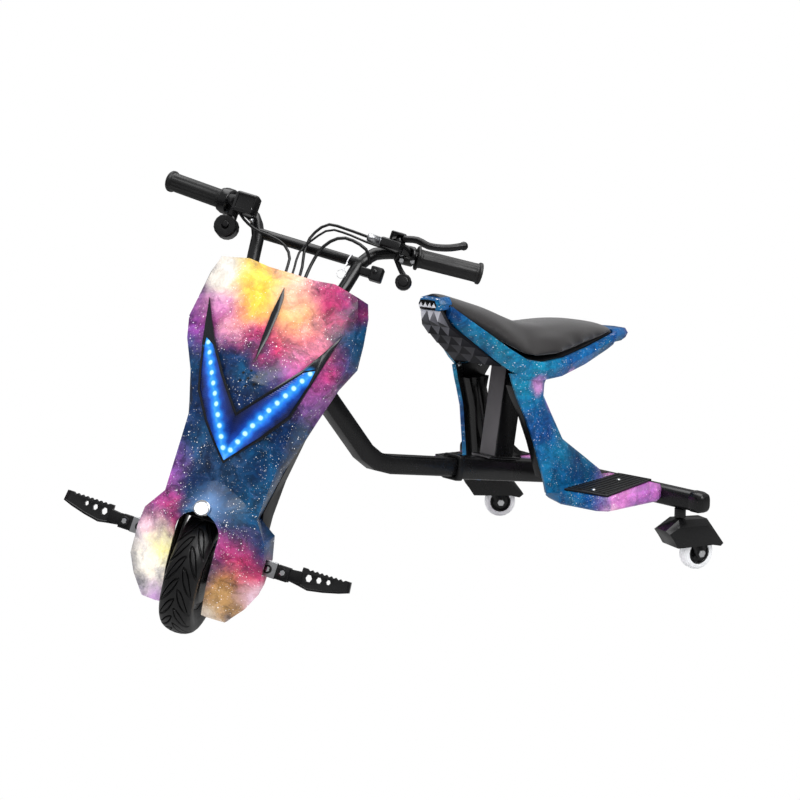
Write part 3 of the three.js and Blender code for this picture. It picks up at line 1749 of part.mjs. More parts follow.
function build() {
  const shells = [1, -1].map(sideShell);
  const paint = look(0x2a6f96, 0.3, 0.1);
  const rear = group(
    "rear",
    mesh("rear_sleeve", rearSleeve(), steelBlack),
    mesh("crossbar", crossbar(), steelBlack),
    mesh("end_cap_left", endCap(1), plasticBlack),
    mesh("end_cap_right", endCap(-1), plasticBlack),
    mesh("seat_post", seatPost(), steelBlack),
    mesh("seat_base", seatBase(), plasticBlack),
    mesh("cushion", cushion(), look(0x2a2727, 0.6, 0)),
    mesh("seat_front_panel", fittedPanel(shells), plasticBlack),
    mesh("side_shell_left", shells[0], paint),
    mesh("side_shell_right", shells[1], paint),
    mesh("leg_liner_left", legLiner(1), plasticBlack),
    mesh("leg_liner_right", legLiner(-1), plasticBlack),
    mesh("tread_pad_left", treadPad(1), rubberBlack),
    mesh("tread_pad_right", treadPad(-1), rubberBlack),
  );
  const scooter = group(
    "scooter",
    rear,
    caster(1, "left"),
    caster(-1, "right"),
    mesh("front_frame", frontFrame(), steelBlack),
    steering(),
  );
  scooter.updateMatrixWorld(true);
  const box = new THREE.Box3().setFromObject(scooter, true);
  const middle = box.getCenter(new THREE.Vector3());
  scooter.position.set(-middle.x, -middle.y, -box.min.z);
  scooter.updateMatrixWorld(true);
  return scooter;
}

export default build();
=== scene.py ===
import math

import bmesh
import bpy
from mathutils import Matrix, Vector
from mathutils.bvhtree import BVHTree


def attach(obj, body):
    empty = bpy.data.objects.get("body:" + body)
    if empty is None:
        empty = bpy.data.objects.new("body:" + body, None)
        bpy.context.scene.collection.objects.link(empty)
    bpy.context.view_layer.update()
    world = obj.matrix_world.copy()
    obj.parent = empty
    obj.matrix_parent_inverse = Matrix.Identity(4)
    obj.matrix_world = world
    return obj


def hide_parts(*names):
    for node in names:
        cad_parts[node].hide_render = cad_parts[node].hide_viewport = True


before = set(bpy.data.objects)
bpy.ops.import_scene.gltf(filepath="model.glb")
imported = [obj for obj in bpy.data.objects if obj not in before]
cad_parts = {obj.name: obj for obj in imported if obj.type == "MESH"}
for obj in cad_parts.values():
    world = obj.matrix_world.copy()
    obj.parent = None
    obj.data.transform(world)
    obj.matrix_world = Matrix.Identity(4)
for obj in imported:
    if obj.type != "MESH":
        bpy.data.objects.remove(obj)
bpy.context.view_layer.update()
print("frame loaded")


# Where the steering parts stand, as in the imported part

steerPlace = {"origin": (0.0, -0.42918, 0.09788), "rake": 23.47, "turn": 43.3}


def steerMatrix():
    s = steerPlace
    tilt = Matrix.Rotation(-math.radians(s["rake"]), 4, "X")
    turn = Matrix.Rotation(math.radians(s["turn"]), 4, "Z")
    return Matrix.Translation(s["origin"]) @ tilt @ turn


toWorld = steerMatrix()
toSteer = toWorld.inverted()


# Meshes: new ones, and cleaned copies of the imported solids

def makeObject(name, verts, faces):
    mesh = bpy.data.meshes.new(name)
    mesh.from_pydata([tuple(v) for v in verts], [], faces)
    mesh.validate()
    obj = bpy.data.objects.new(name, mesh)
    bpy.context.scene.collection.objects.link(obj)
    return obj


def fixNormals(obj):
    bm = bmesh.new()
    bm.from_mesh(obj.data)
    bmesh.ops.recalc_face_normals(bm, faces=bm.faces)
    bm.to_mesh(obj.data)
    bm.free()


def applyModifiers(obj):
    graph = bpy.context.evaluated_depsgraph_get()
    mesh = bpy.data.meshes.new_from_object(obj.evaluated_get(graph))
    obj.modifiers.clear()
    obj.data = mesh
    return obj


def smoothByAngle(obj, degrees):
    limit = math.radians(degrees)
    bm = bmesh.new()
    bm.from_mesh(obj.data)
    for edge in bm.edges:
        edge.smooth = len(edge.link_faces) == 2 and edge.calc_face_angle(0) < limit
    for face in bm.faces:
        face.smooth = True
    bm.to_mesh(obj.data)
    bm.free()


def cleanCopy(node, flat=1.0):
    obj = bpy.data.objects.new(node + "_look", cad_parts[node].data.copy())
    bpy.context.scene.collection.objects.link(obj)
    obj.data.materials.clear()
    bm = bmesh.new()
    bm.from_mesh(obj.data)
    bmesh.ops.remove_doubles(bm, verts=bm.verts, dist=2e-5)
    bmesh.ops.dissolve_limit(bm, angle_limit=math.radians(flat), verts=bm.verts, edges=bm.edges)
    bm.to_mesh(obj.data)
    bm.free()
    return obj


def refined(node, width, segments=2, angle=28, flat=1.0, edge=-1):
    obj = cleanCopy(node, flat)
    for number in range(edge + 1):
        obj.data.materials.append(None)  # room for a material on the bevelled edges, where the shield puts its painted highlight
    bevel = obj.modifiers.new("bevel", "BEVEL")
    bevel.width = width
    bevel.segments = segments
    bevel.limit_method = "ANGLE"
    bevel.angle_limit = math.radians(angle)
    bevel.material = edge
    bevel.miter_outer = "MITER_ARC"
    applyModifiers(obj)
    smoothByAngle(obj, angle)
    return obj


def settle(obj, body, material, *nodes, slot=None):
    obj.data.materials.clear()
    obj.data.materials.append(material)
    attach(obj, body)
    if nodes:
        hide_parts(*nodes)
    return obj


def paintFaces(obj, material, chosen):
    obj.data.materials.append(material)
    index = len(obj.data.materials) - 1
    for face in obj.data.polygons:
        if chosen(face.center, face.normal):
            face.material_index = index


def splitAt(obj, place, way):
    bm = bmesh.new()
    bm.from_mesh(obj.data)
    bmesh.ops.bisect_plane(bm, geom=bm.verts[:] + bm.edges[:] + bm.faces[:], plane_co=place, plane_no=way)
    bm.to_mesh(obj.data)
    bm.free()


# Materials: short calls for the nodes that the finishes share

class Shader:
    def __init__(self, name):
        self.material = bpy.data.materials.new(name)
        self.material.use_nodes = True
        self.tree = self.material.node_tree
        self.surface = self.tree.nodes["Principled BSDF"]

    def node(self, kind, **settings):
        made = self.tree.nodes.new(kind)
        for key, value in settings.items():
            setattr(made, key, value)
        return made

    def link(self, out, into):
        self.tree.links.new(out, into)

    def feed(self, socket, value):
        if isinstance(value, (int, float, tuple, list)):
            socket.default_value = value
        else:
            self.link(value, socket)

    def sum(self, kind, a, b=0.0, c=0.0):
        n = self.node("ShaderNodeMath", operation=kind)
        for socket, value in zip(n.inputs, (a, b, c)):
            self.feed(socket, value)
        return n.outputs[0]

    def mix(self, factor, a, b, kind="MIX"):
        n = self.node("ShaderNodeMix", data_type="RGBA", blend_type=kind)
        self.feed(n.inputs[0], factor)
        self.feed(n.inputs[6], a)
        self.feed(n.inputs[7], b)
        return n.outputs[2]

    def range(self, value, low, high, toLow=0.0, toHigh=1.0, smooth=True):
        n = self.node("ShaderNodeMapRange", interpolation_type="SMOOTHSTEP" if smooth else "LINEAR")
        self.feed(n.inputs[0], value)
        for i, v in enumerate((low, high, toLow, toHigh)):
            n.inputs[i + 1].default_value = v
        return n.outputs[0]

    def place(self):
        return self.node("ShaderNodeTexCoord").outputs["Object"]

    def attribute(self, name):
        return self.node("ShaderNodeAttribute", attribute_name=name).outputs["Vector"]

    def noise(self, where, scale, detail=4.0, rough=0.5, distort=0.0):
        n = self.node("ShaderNodeTexNoise")
        self.link(where, n.inputs["Vector"])
        n.inputs["Scale"].default_value = scale
        n.inputs["Detail"].default_value = detail
        n.inputs["Roughness"].default_value = rough
        n.inputs["Distortion"].default_value = distort
        return n

    def cells(self, where, scale):
        n = self.node("ShaderNodeTexVoronoi")
        self.link(where, n.inputs["Vector"])
        n.inputs["Scale"].default_value = scale
        return n

    def ramp(self, value, stops):
        n = self.node("ShaderNodeValToRGB")
        self.feed(n.inputs[0], value)
        while len(n.color_ramp.elements) < len(stops):
            n.color_ramp.elements.new(0.5)
        for element, (position, color) in zip(n.color_ramp.elements, stops):
            element.position = position
            element.color = (*color, 1)
        return n.outputs[0]

    def bump(self, height, strength, distance):
        n = self.node("ShaderNodeBump")
        n.inputs["Strength"].default_value = strength
        n.inputs["Distance"].default_value = distance
        self.link(height, n.inputs["Height"])
        self.link(n.outputs[0], self.surface.inputs["Normal"])

    def distance(self, where, x, z, depth):
        gap = self.node("ShaderNodeVectorMath", operation="DISTANCE")
        self.link(where, gap.inputs[0])
        gap.inputs[1].default_value = (x, z, depth)
        return gap.outputs["Value"]

    def set(self, **values):
        names = {
            "color": "Base Color",
            "rough": "Roughness",
            "metal": "Metallic",
            "coat": "Coat Weight",
            "coatRough": "Coat Roughness",
            "spec": "Specular IOR Level",
            "glow": "Emission Strength",
            "glowColor": "Emission Color",
            "sheen": "Sheen Weight",
        }
        for key, value in values.items():
            if isinstance(value, tuple) and len(value) == 3:
                value = (*value, 1)
            self.feed(self.surface.inputs[names[key]], value)


def grained(name, color, rough, grain=900, depth=0.00012, strength=0.35, wear=0.12, scale=14):
    s = Shader(name)
    where = s.place()
    fine = s.noise(where, grain, 2, 0.6).outputs[0]
    broad = s.noise(where, scale, 4, 0.6).outputs[0]
    shade = s.range(broad, 0.3, 0.7, 1 - wear, 1 + wear)
    tone = s.mix(1.0, (*color, 1), shade, "MULTIPLY")
    s.set(color=tone, rough=s.range(broad, 0.3, 0.7, rough - 0.06, rough + 0.06))
    s.bump(fine, strength, depth)
    return s.material


def brushed(name, color, rough, strength=0.25):
    s = Shader(name)
    stretch = s.node("ShaderNodeMapping")
    s.link(s.place(), stretch.inputs["Vector"])
    stretch.inputs["Scale"].default_value = (1, 1, 0.04)  # long lines down the piece
    lines = s.noise(stretch.outputs[0], 1400, 3, 0.6).outputs[0]
    broad = s.noise(s.place(), 30, 3).outputs[0]
    s.set(color=(*color, 1), metal=1.0, rough=s.range(broad, 0.3, 0.7, rough - 0.05, rough + 0.07))
    s.bump(lines, strength, 0.00008)
    return s.material


steelBlack = grained("steelBlack", (0.0035, 0.0035, 0.004), 0.27, grain=1600, depth=0.00005, strength=0.25)
plasticBlack = grained("plasticBlack", (0.004, 0.004, 0.0045), 0.36, grain=1900, depth=0.00008, strength=0.4)
plasticFine = grained("plasticFine", (0.0035, 0.0035, 0.004), 0.25, grain=2600, depth=0.00004, strength=0.25)
rubberBlack = grained("rubberBlack", (0.006, 0.006, 0.0063), 0.45, grain=1300, depth=0.0001, strength=0.5)
cordBlack = grained("cordBlack", (0.004, 0.004, 0.0045), 0.3, grain=1800, depth=0.00005, strength=0.3)
silverMetal = brushed("silverMetal", (0.62, 0.63, 0.65), 0.3)
chromeMetal = brushed("chromeMetal", (0.85, 0.86, 0.88), 0.1, strength=0.06)
print("plain materials made")


# Faceted panel: painted light and shade, facets that look forward are painted light, the others painted near
# black

paintedFacetLight = {
    "toward": (0.10, -0.97, 0.15),
    "rough": 0.32,
    "spec": 0.12,
    "grain": 2200,
    "tones": [
        (0.0, (0.002, 0.002, 0.003)),
        (0.5, (0.008, 0.008, 0.010)),
        (0.74, (0.03, 0.03, 0.035)),
        (0.84, (0.14, 0.14, 0.16)),
        (0.93, (0.50, 0.50, 0.54)),
    ],
}


def paintedFacetLightPlastic():
    s = Shader("paintedFacetLightPlastic")
    facing = s.node("ShaderNodeVectorMath", operation="DOT_PRODUCT")
    s.link(s.node("ShaderNodeNewGeometry").outputs["Normal"], facing.inputs[0])
    facing.inputs[1].default_value = Vector(paintedFacetLight["toward"]).normalized()
    # painted light: each facet's tone is set by how far it faces the painted light direction
    tone = s.ramp(facing.outputs["Value"], paintedFacetLight["tones"])
    s.set(color=tone, rough=paintedFacetLight["rough"], spec=paintedFacetLight["spec"])
    s.bump(s.noise(s.place(), paintedFacetLight["grain"], 2).outputs[0], 0.25, 0.00005)
    return s.material


# Painted shells: clouds of colour over a dark sky with stars

def skyPaint(name, settings):
    s = Shader(name)
    where = s.attribute("art")
    warp = s.node("ShaderNodeVectorMath", operation="MULTIPLY_ADD")
    s.link(s.noise(where, settings["warpScale"], 5, 0.62).outputs[1], warp.inputs[0])
    warp.inputs[1].default_value = (settings["warp"],) * 3
    s.link(where, warp.inputs[2])
    moved = warp.outputs[0]
    teal = s.noise(where, settings["cloudScale"] * 0.5, 5, 0.6).outputs[0]
    color = s.mix(s.range(teal, 0.4, 0.6), (*settings["sky"], 1), (*settings["teal"], 1))
    cloud = s.noise(where, settings["cloudScale"], 9, 0.66, 0.6).outputs[0]
    torn = s.range(cloud, 0.3, 0.6, 0.35, 1.25)
    shift = settings["warp"] * 0.5  # the warp noise is about a half on average
    for x, z, size, tone, strength in settings["clouds"]:
        gap = s.distance(moved, x + shift, z + shift, shift)
        near = s.range(gap, size, 0.0, 0.0, strength)
        color = s.mix(s.sum("MULTIPLY", near, torn), color, (*tone, 1))
    bulk = s.node("ShaderNodeRGBToBW")
    s.link(color, bulk.inputs[0])
    light = s.range(bulk.outputs[0], 0.10, 0.45)  # light clouds take less dust and grain
    dust = s.noise(moved, settings["dustScale"], 8, 0.7, 0.4).outputs[0]
    deep = s.mix(1.0, color, (*settings["dark"], 1), "MULTIPLY")
    thick = s.sum("SUBTRACT", 1.0, s.sum("MULTIPLY", light, 0.6))
    dusty = s.range(dust, 0.44, 0.62, 0.0, settings["dust"])
    color = s.mix(s.sum("MULTIPLY", dusty, thick), color, deep)
    wisps = s.noise(moved, settings["dustScale"] * 1.7, 9, 0.72, 1.1).outputs[0]
    bright = s.mix(1.0, color, (*settings["light"], 1), "ADD")
    color = s.mix(s.range(wisps, 0.52, 0.72, 0.0, settings["glow"]), color, bright)
    grain = s.noise(moved, settings["dustScale"] * 2.3, 9, 0.75, 0.8).outputs[0]
    calm = s.sum("SUBTRACT", settings["contrast"], s.sum("MULTIPLY", light, settings["contrast"] * 0.55))
    color = s.mix(calm, color, s.range(grain, 0.32, 0.68, 0.12, 0.88), "OVERLAY")
    patches = s.range(s.noise(where, 16, 4, 0.6).outputs[0], 0.42, 0.60, 0.25, 1.0)
    for scale, reach, low, power in settings["stars"]:
        cells = s.cells(where, scale)
        pick = s.node("ShaderNodeSeparateColor")
        s.link(cells.outputs["Color"], pick.inputs[0])
        dot = s.range(cells.outputs["Distance"], reach, reach * 0.3)
        some = s.range(pick.outputs[0], low, 1.0, 0.0, power, smooth=False)
        star = s.sum("MULTIPLY", s.sum("MULTIPLY", dot, some), patches)
        color = s.mix(star, color, (1, 1, 1, 1))
    # Painted light: the colour is lightened around the headlight, standing in for its light on the shell
    if "lamp" in settings:
        x, z, depth, size, tone, strength = settings["lamp"]
        near = s.range(s.distance(where, x, z, depth), size, 0.0)
        color = s.mix(s.sum("MULTIPLY", s.sum("MULTIPLY", near, near), strength), color, (*tone, 1))
    s.set(color=color, rough=s.range(cloud, 0.3, 0.7, 0.28, 0.36), coat=0.25, coatRough=0.07, spec=0.22)
    s.bump(s.noise(s.place(), 55, 2).outputs[0], 0.05, 0.0006)
    return s.material


# Clouds: place on the shell, size, colour, strength. Stars: scale, size, least tone, strength.

shieldSky = {
    "sky": (0.001, 0.018, 0.075),
    "teal": (0.001, 0.050, 0.125),
    "dark": (0.45, 0.42, 0.55),
    "light": (0.06, 0.06, 0.12),
    "contrast": 0.85,
    "warp": 0.085,
    "warpScale": 10,
    "cloudScale": 15,
    "dustScale": 18,
    "dust": 0.7,
    "glow": 0.6,
    "stars": [(210, 0.20, 0.56, 2.6), (400, 0.24, 0.5, 1.6), (85, 0.12, 0.66, 3.0)],
    "lamp": (0.005, 0.112, 0.035, 0.055, (0.28, 0.46, 0.85), 0.40),  # painted light: the headlight's glow painted into the shield's colour
    "clouds": [
        (-0.115, 0.405, 0.085, (0.22, 0.05, 0.30), 1.1),
        (-0.080, 0.425, 0.080, (0.36, 0.03, 0.20), 1.2),
        (0.065, 0.355, 0.070, (0.22, 0.05, 0.26), 1.1),
        (0.105, 0.335, 0.060, (0.25, 0.08, 0.28), 1.0),
        (-0.035, 0.420, 0.075, (0.62, 0.05, 0.16), 1.2),
        (0.025, 0.395, 0.075, (0.48, 0.02, 0.10), 1.2),
        (0.085, 0.390, 0.075, (0.55, 0.05, 0.20), 1.2),
        (-0.060, 0.398, 0.050, (0.80, 0.50, 0.55), 1.0),
        (0.055, 0.430, 0.080, (0.72, 0.20, 0.22), 1.1),
        (0.020, 0.460, 0.080, (0.85, 0.42, 0.16), 1.2),
        (-0.105, 0.445, 0.065, (0.66, 0.28, 0.48), 1.1),
        (0.085, 0.495, 0.070, (0.36, 0.012, 0.09), 1.3),
        (0.045, 0.515, 0.065, (0.48, 0.05, 0.15), 1.2),
        (0.000, 0.490, 0.070, (0.85, 0.48, 0.34), 1.2),
        (-0.040, 0.500, 0.070, (0.85, 0.36, 0.06), 1.2),
        (-0.035, 0.458, 0.065, (0.88, 0.56, 0.06), 1.2),
        (-0.080, 0.490, 0.065, (0.78, 0.60, 0.09), 1.3),
        (-0.118, 0.490, 0.065, (0.66, 0.62, 0.55), 1.3),
        (-0.010, 0.185, 0.065, (0.07, 0.10, 0.18), 0.5),
        (-0.085, 0.140, 0.070, (0.20, 0.06, 0.30), 1.1),
        (-0.080, 0.100, 0.070, (0.36, 0.05, 0.24), 1.2),
        (-0.055, 0.075, 0.065, (0.42, 0.02, 0.10), 1.2),
        (-0.075, 0.048, 0.055, (0.95, 0.66, 0.74), 1.1),
        (-0.060, -0.010, 0.085, (0.90, 0.82, 0.70), 1.3),
        (-0.050, 0.030, 0.045, (0.88, 0.82, 0.24), 1.1),
        (-0.055, -0.060, 0.050, (0.50, 0.30, 0.55), 1.1),
        (0.045, 0.065, 0.060, (0.26, 0.05, 0.24), 1.1),
        (0.065, 0.042, 0.065, (0.42, 0.02, 0.10), 1.2),
        (0.100, 0.015, 0.060, (0.45, 0.03, 0.12), 1.2),
        (0.055, -0.005, 0.065, (0.40, 0.17, 0.045), 1.2),
        (0.068, -0.035, 0.060, (0.46, 0.26, 0.09), 1.2),
        (0.115, -0.010, 0.045, (0.70, 0.45, 0.52), 1.1),
        (0.050, -0.080, 0.050, (0.80, 0.68, 0.55), 1.2),
    ],
}
seatSky = {
    "sky": (0.003, 0.050, 0.20),
    "teal": (0.002, 0.130, 0.25),
    "dark": (0.40, 0.42, 0.60),
    "light": (0.03, 0.08, 0.11),
    "contrast": 0.6,
    "warp": 0.05,
    "warpScale": 13,
    "cloudScale": 13,
    "dustScale": 24,
    "dust": 0.7,
    "glow": 0.6,
    "stars": [(210, 0.20, 0.45, 2.6), (400, 0.24, 0.45, 1.6), (85, 0.12, 0.64, 3.0)],
    "clouds": [
        (0.140, 0.450, 0.110, (0.003, 0.16, 0.26), 0.9),
        (0.240, 0.385, 0.090, (0.003, 0.20, 0.34), 0.9),
        (0.380, 0.405, 0.100, (0.004, 0.13, 0.36), 1.0),
        (0.500, 0.430, 0.050, (0.006, 0.12, 0.40), 0.9),
        (0.575, 0.425, 0.035, (0.30, 0.14, 0.46), 1.0),
        (0.265, 0.352, 0.028, (0.50, 0.24, 0.52), 1.1),
        (0.300, 0.310, 0.022, (0.34, 0.14, 0.46), 1.0),
        (0.340, 0.366, 0.016, (0.66, 0.34, 0.60), 1.0),
        (0.265, 0.270, 0.070, (0.004, 0.055, 0.22), 0.9),
        (0.335, 0.200, 0.045, (0.010, 0.020, 0.10), 1.0),
        (0.280, 0.175, 0.060, (0.003, 0.12, 0.26), 0.9),
        (0.460, 0.145, 0.090, (0.58, 0.18, 0.48), 1.3),
        (0.540, 0.150, 0.090, (0.50, 0.14, 0.46), 1.3),
        (0.620, 0.150, 0.080, (0.36, 0.09, 0.38), 1.3),
        (0.435, 0.130, 0.035, (0.90, 0.66, 0.70), 1.1),
    ],
}


def storeArt(obj, place):
    layer = obj.data.attributes.new("art", "FLOAT_VECTOR", "POINT")
    for vertex, item in zip(obj.data.vertices, layer.data):
        item.vector = place(vertex.co)


def shieldArt(p):
    q = toSteer @ p
    return (q.x, q.z, -q.y * 0.35)


def seatArt(p):
    return (p.y + max(abs(p.x) - 0.12, 0.0) * 1.1, p.z, (abs(p.x) - 0.1) * 0.15)


shieldPaint = skyPaint("shieldPaint", shieldSky)
seatPaint = skyPaint("seatPaint", seatSky)
print("painted materials made")

# Shield: painted skin with a painted highlight of pale paint on the creases of its flanks, cheeks drawn in
# to the tyre

shieldSettings = {
    "bevel": 0.0021,
    "cheekShift": 0.0045,
    "cheekInner": 0.046,
    "cheekOuter": 0.075,
    "cheekTop": 0.085,
    "cheekBlend": 0.03,
    "highlightFromSide": 0.05,
    "highlightTop": 0.47,
    "highlightBottom": 0.05,
}
# Painted highlight: pale paint on the bevels of the flank creases, standing in for light caught on those
# edges
paintedEdgeHighlight = grained("paintedEdgeHighlight", (0.80, 0.82, 0.90), 0.22, grain=900, depth=0.00003, strength=0.2)


def drawCheeksIn(obj):
    s = shieldSettings
    width = s["cheekOuter"] - s["cheekInner"]
    for vertex in obj.data.vertices:
        q = toSteer @ vertex.co
        if q.z < s["cheekTop"] and abs(q.x) < s["cheekOuter"]:
            share = min(1.0, (s["cheekOuter"] - abs(q.x)) / width)
            rise = min(1.0, (s["cheekTop"] - q.z) / s["cheekBlend"])
            q.x -= math.copysign(s["cheekShift"] * share * rise, q.x)
            vertex.co = toWorld @ q


def makeShield():
    s = shieldSettings
    shield = refined("shield_front", s["bevel"], 2, 24, 0.6, 1)
    drawCheeksIn(shield)
    creases = [face.material_index == 1 for face in shield.data.polygons]
    storeArt(shield, shieldArt)
    settle(shield, "steering", shieldPaint, "shield_front", slot="shield_paint")
    shield.data.materials.append(paintedEdgeHighlight)
    # painted highlight on the crease bevels of the flanks
    for face, crease in zip(shield.data.polygons, creases):
        q = toSteer @ face.center
        flank = abs(q.x) > s["highlightFromSide"] and s["highlightBottom"] < q.z < s["highlightTop"]
        face.material_index = 1 if crease and flank else 0


makeShield()
print("shield made")


# Saddle mouldings: painted outside, black inside and at the front of the nose

shellSettings = {"bevel": 0.0016, "inward": 0.72, "forward": 0.9, "noseFront": 0.070}


def makeShell(side, sign):
    s = shellSettings
    shell = refined("side_shell_" + side, s["bevel"], 2, 20, 0.6)
    storeArt(shell, seatArt)
    settle(shell, "rear", seatPaint, "side_shell_" + side, slot="seat_paint")
    paintFaces(shell, plasticFine, lambda c, n: n.x * sign < -s["inward"])
    paintFaces(shell, plasticFine, lambda c, n: n.y < -s["forward"] and c.y < s["noseFront"])


makeShell("left", 1)
makeShell("right", -1)
print("saddle mouldings made")


# The V light and the headlight

beamLine = [  # side and height of the row of lights, from the top down
    (0.0877, 0.363),
    (0.0750, 0.3385),
    (0.0585, 0.308),
    (0.0415, 0.2775),
    (0.0255, 0.2465),
    (0.0062, 0.207),
]
lensSettings = {
    "below": -0.030,
    "above": 0.022,
    "ragged": 0.012,
    "ridges": 90,
    "glow": 0.95,
    "tones": [
        (0.0, (0.001, 0.004, 0.03)),
        (0.22, (0.002, 0.012, 0.10)),
        (0.42, (0.006, 0.05, 0.34)),
        (0.54, (0.03, 0.22, 0.90)),
        (0.60, (0.09, 0.42, 1.0)),
        (0.67, (0.02, 0.17, 0.80)),
        (0.80, (0.004, 0.04, 0.28)),
        (0.97, (0.001, 0.006, 0.05)),
    ],
}


def lensMaterial():
    s = Shader("lensBlue")
    where = s.attribute("art")
    split = s.node("ShaderNodeSeparateXYZ")
    s.link(where, split.inputs[0])
    (startX, startZ), (endX, endZ) = beamLine[-1], beamLine[0]
    run = Vector((endX - startX, endZ - startZ)).normalized()
    side = s.sum("MULTIPLY", s.sum("SUBTRACT", s.sum("ABSOLUTE", split.outputs[0]), startX), run.y)
    rise = s.sum("MULTIPLY", s.sum("SUBTRACT", split.outputs[1], startZ), run.x)
    wobble = s.sum("SUBTRACT", s.noise(where, 70, 3).outputs[0], 0.5)
    off = s.sum("SUBTRACT", side, rise)
    off = s.sum("ADD", off, s.sum("MULTIPLY", wobble, lensSettings["ragged"]))
    share = s.range(off, lensSettings["below"], lensSettings["above"], smooth=False)
    tone = s.ramp(share, lensSettings["tones"])
    skin = s.mix(0.7, tone, (0, 0, 0, 1))
    s.set(color=skin, glowColor=tone, glow=lensSettings["glow"], rough=0.14, coat=0.6, coatRough=0.05)
    ridges = s.node("ShaderNodeTexWave", wave_type="BANDS", bands_direction="Y")
    s.link(where, ridges.inputs["Vector"])
    ridges.inputs["Scale"].default_value = lensSettings["ridges"]
    s.bump(ridges.outputs[1], 0.25, 0.0006)
    return s.material


def bezelMaterial():
    s = Shader("bezelBlack")
    fine = s.noise(s.place(), 240, 3).outputs[0]
    rough = s.range(fine, 0.3, 0.7, 0.16, 0.24)
    s.set(color=(0.006, 0.007, 0.010), rough=rough, coat=0.25, coatRough=0.06, spec=0.35)
    s.bump(fine, 0.05, 0.0004)
    return s.material


def clearMaterial():
    s = Shader("lampClear")
    s.set(color=(0.93, 0.96, 1.0), glowColor=(0.9, 0.95, 1.0), glow=1.1, rough=0.05, coat=1.0)
    s.bump(s.cells(s.place(), 420).outputs["Distance"], 0.6, 0.0012)
    return s.material


bezelBlack = bezelMaterial()
lens = refined("v_light_lens", 0.0008, 2, 25)
storeArt(lens, shieldArt)
settle(lens, "steering", lensMaterial(), "v_light_lens", slot="v_lens")
lampPieces = [
    ("v_light_bezel", bezelBlack, 0.0011, 2, 25, "bezel"),
    ("headlight_lens", clearMaterial(), 0.0004, 1, 30, "clear_lens"),
    ("headlight_ring", chromeMetal, 0.0006, 2, 30, "silver"),
]
for node, material, width, segments, angle, slot in lampPieces:
    settle(refined(node, width, segments, angle), "steering", material, node, slot=slot)
print("lights made")


# Plain hard pieces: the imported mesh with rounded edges

def swell(obj, factor):
    middle = sum((v.co for v in obj.data.vertices), Vector()) / len(obj.data.vertices)
    for vertex in obj.data.vertices:
        vertex.co = middle + (vertex.co - middle) * factor


def thicken(obj, amount):
    normals = [v.normal.copy() for v in obj.data.vertices]
    for vertex, normal in zip(obj.data.vertices, normals):
        vertex.co += normal * amount


hardPieces = [  # node, body, finish, width and angle of the rounded edges
    ("front_frame", "front", steelBlack, 0.0012, 30),
    ("rear_sleeve", "rear", steelBlack, 0.0012, 30),
    ("crossbar", "rear", steelBlack, 0.001, 40),
    ("seat_post", "rear", steelBlack, 0.0012, 30),
    ("seat_base", "rear", plasticBlack, 0.001, 30),
    ("seat_front_panel", "rear", paintedFacetLightPlastic(), 0.0005, 20),
    ("fork", "steering", steelBlack, 0.0008, 30),
    ("axle", "steering", silverMetal, 0.0005, 30),
    ("shield_back", "steering", plasticBlack, 0.001, 25),
    ("arch_liner", "steering", plasticBlack, 0.0008, 30),
    ("centre_fin", "steering", bezelBlack, 0.0008, 25),
    ("speaker", "steering", plasticBlack, 0.0008, 30),
    ("handlebar", "steering", steelBlack, 0.0008, 40),
    ("throttle_housing", "steering", plasticFine, 0.0008, 35),
    ("battery_display", "steering", plasticFine, 0.001, 30),
    ("switch_body", "steering", plasticFine, 0.001, 35),
    ("mode_button", "mode_button", plasticFine, 0.0006, 35),
    ("brake_clamp", "steering", plasticFine, 0.0008, 35),
    ("brake_lever", "brake_lever", steelBlack, 0.0006, 35),
    ("accessory_box", "steering", plasticFine, 0.001, 30),
    ("horn_disc", "steering", plasticFine, 0.0008, 35),
    ("horn_button", "horn_button", plasticFine, 0.0006, 35),
    ("battery_pack", "steering", plasticBlack, 0.001, 30),
    ("controller", "steering", silverMetal, 0.001, 30),
    ("hub_motor", "front_wheel", steelBlack, 0.0008, 30),
    ("grip_left", "steering", rubberBlack, 0.0005, 40),
    ("throttle_grip", "throttle_grip", rubberBlack, 0.0005, 40),
]
for side in ("left", "right"):
    hardPieces += [
        ("end_cap_" + side, "rear", plasticFine, 0.0012, 30),
        ("leg_liner_" + side, "rear", plasticFine, 0.001, 25),
        ("tread_pad_" + side, "rear", rubberBlack, 0.0004, 30),
        ("peg_bracket_" + side, "steering", silverMetal, 0.0007, 30),
        ("peg_" + side, "peg_" + side, steelBlack, 0.0007, 30),
        ("caster_fork_" + side, "caster_" + side, steelBlack, 0.0006, 30),
        ("caster_cover_" + side, "caster_" + side, plasticFine, 0.001, 25),
        ("caster_hub_" + side, "caster_wheel_" + side, plasticFine, 0.0006, 30),
    ]
made = {}
for node, body, material, width, angle in hardPieces:
    made[node] = settle(refined(node, width, 2, angle), body, material, node)
print("hard pieces made")

for use in ("brake", "switch", "light", "throttle"):
    cable = cleanCopy(use + "_cable", 0.1)
    smoothByAngle(cable, 60)
    settle(cable, "steering", cordBlack, use + "_cable")
print("cables made")


# Pieces fuller than their solids, pieces of two finishes, and a painted reflection on the front of the seat
# post

finishSettings = {
    "displaySwell": 1.16,
    "switchSwell": 1.08,
    "leverSkin": 0.0016,
    "clampSkin": 0.0018,
    "housingSkin": 0.0022,
    "postForward": 0.85,
    "plateEnd": 0.126,
    "adjusterEnd": 0.117,
    "boltRadius": 0.0085,
    "boltStart": 0.0168,
    "casters": [("left", (0.28343, 0.49602, 0.033), -14), ("right", (-0.25108, 0.48973, 0.033), -36)],
}
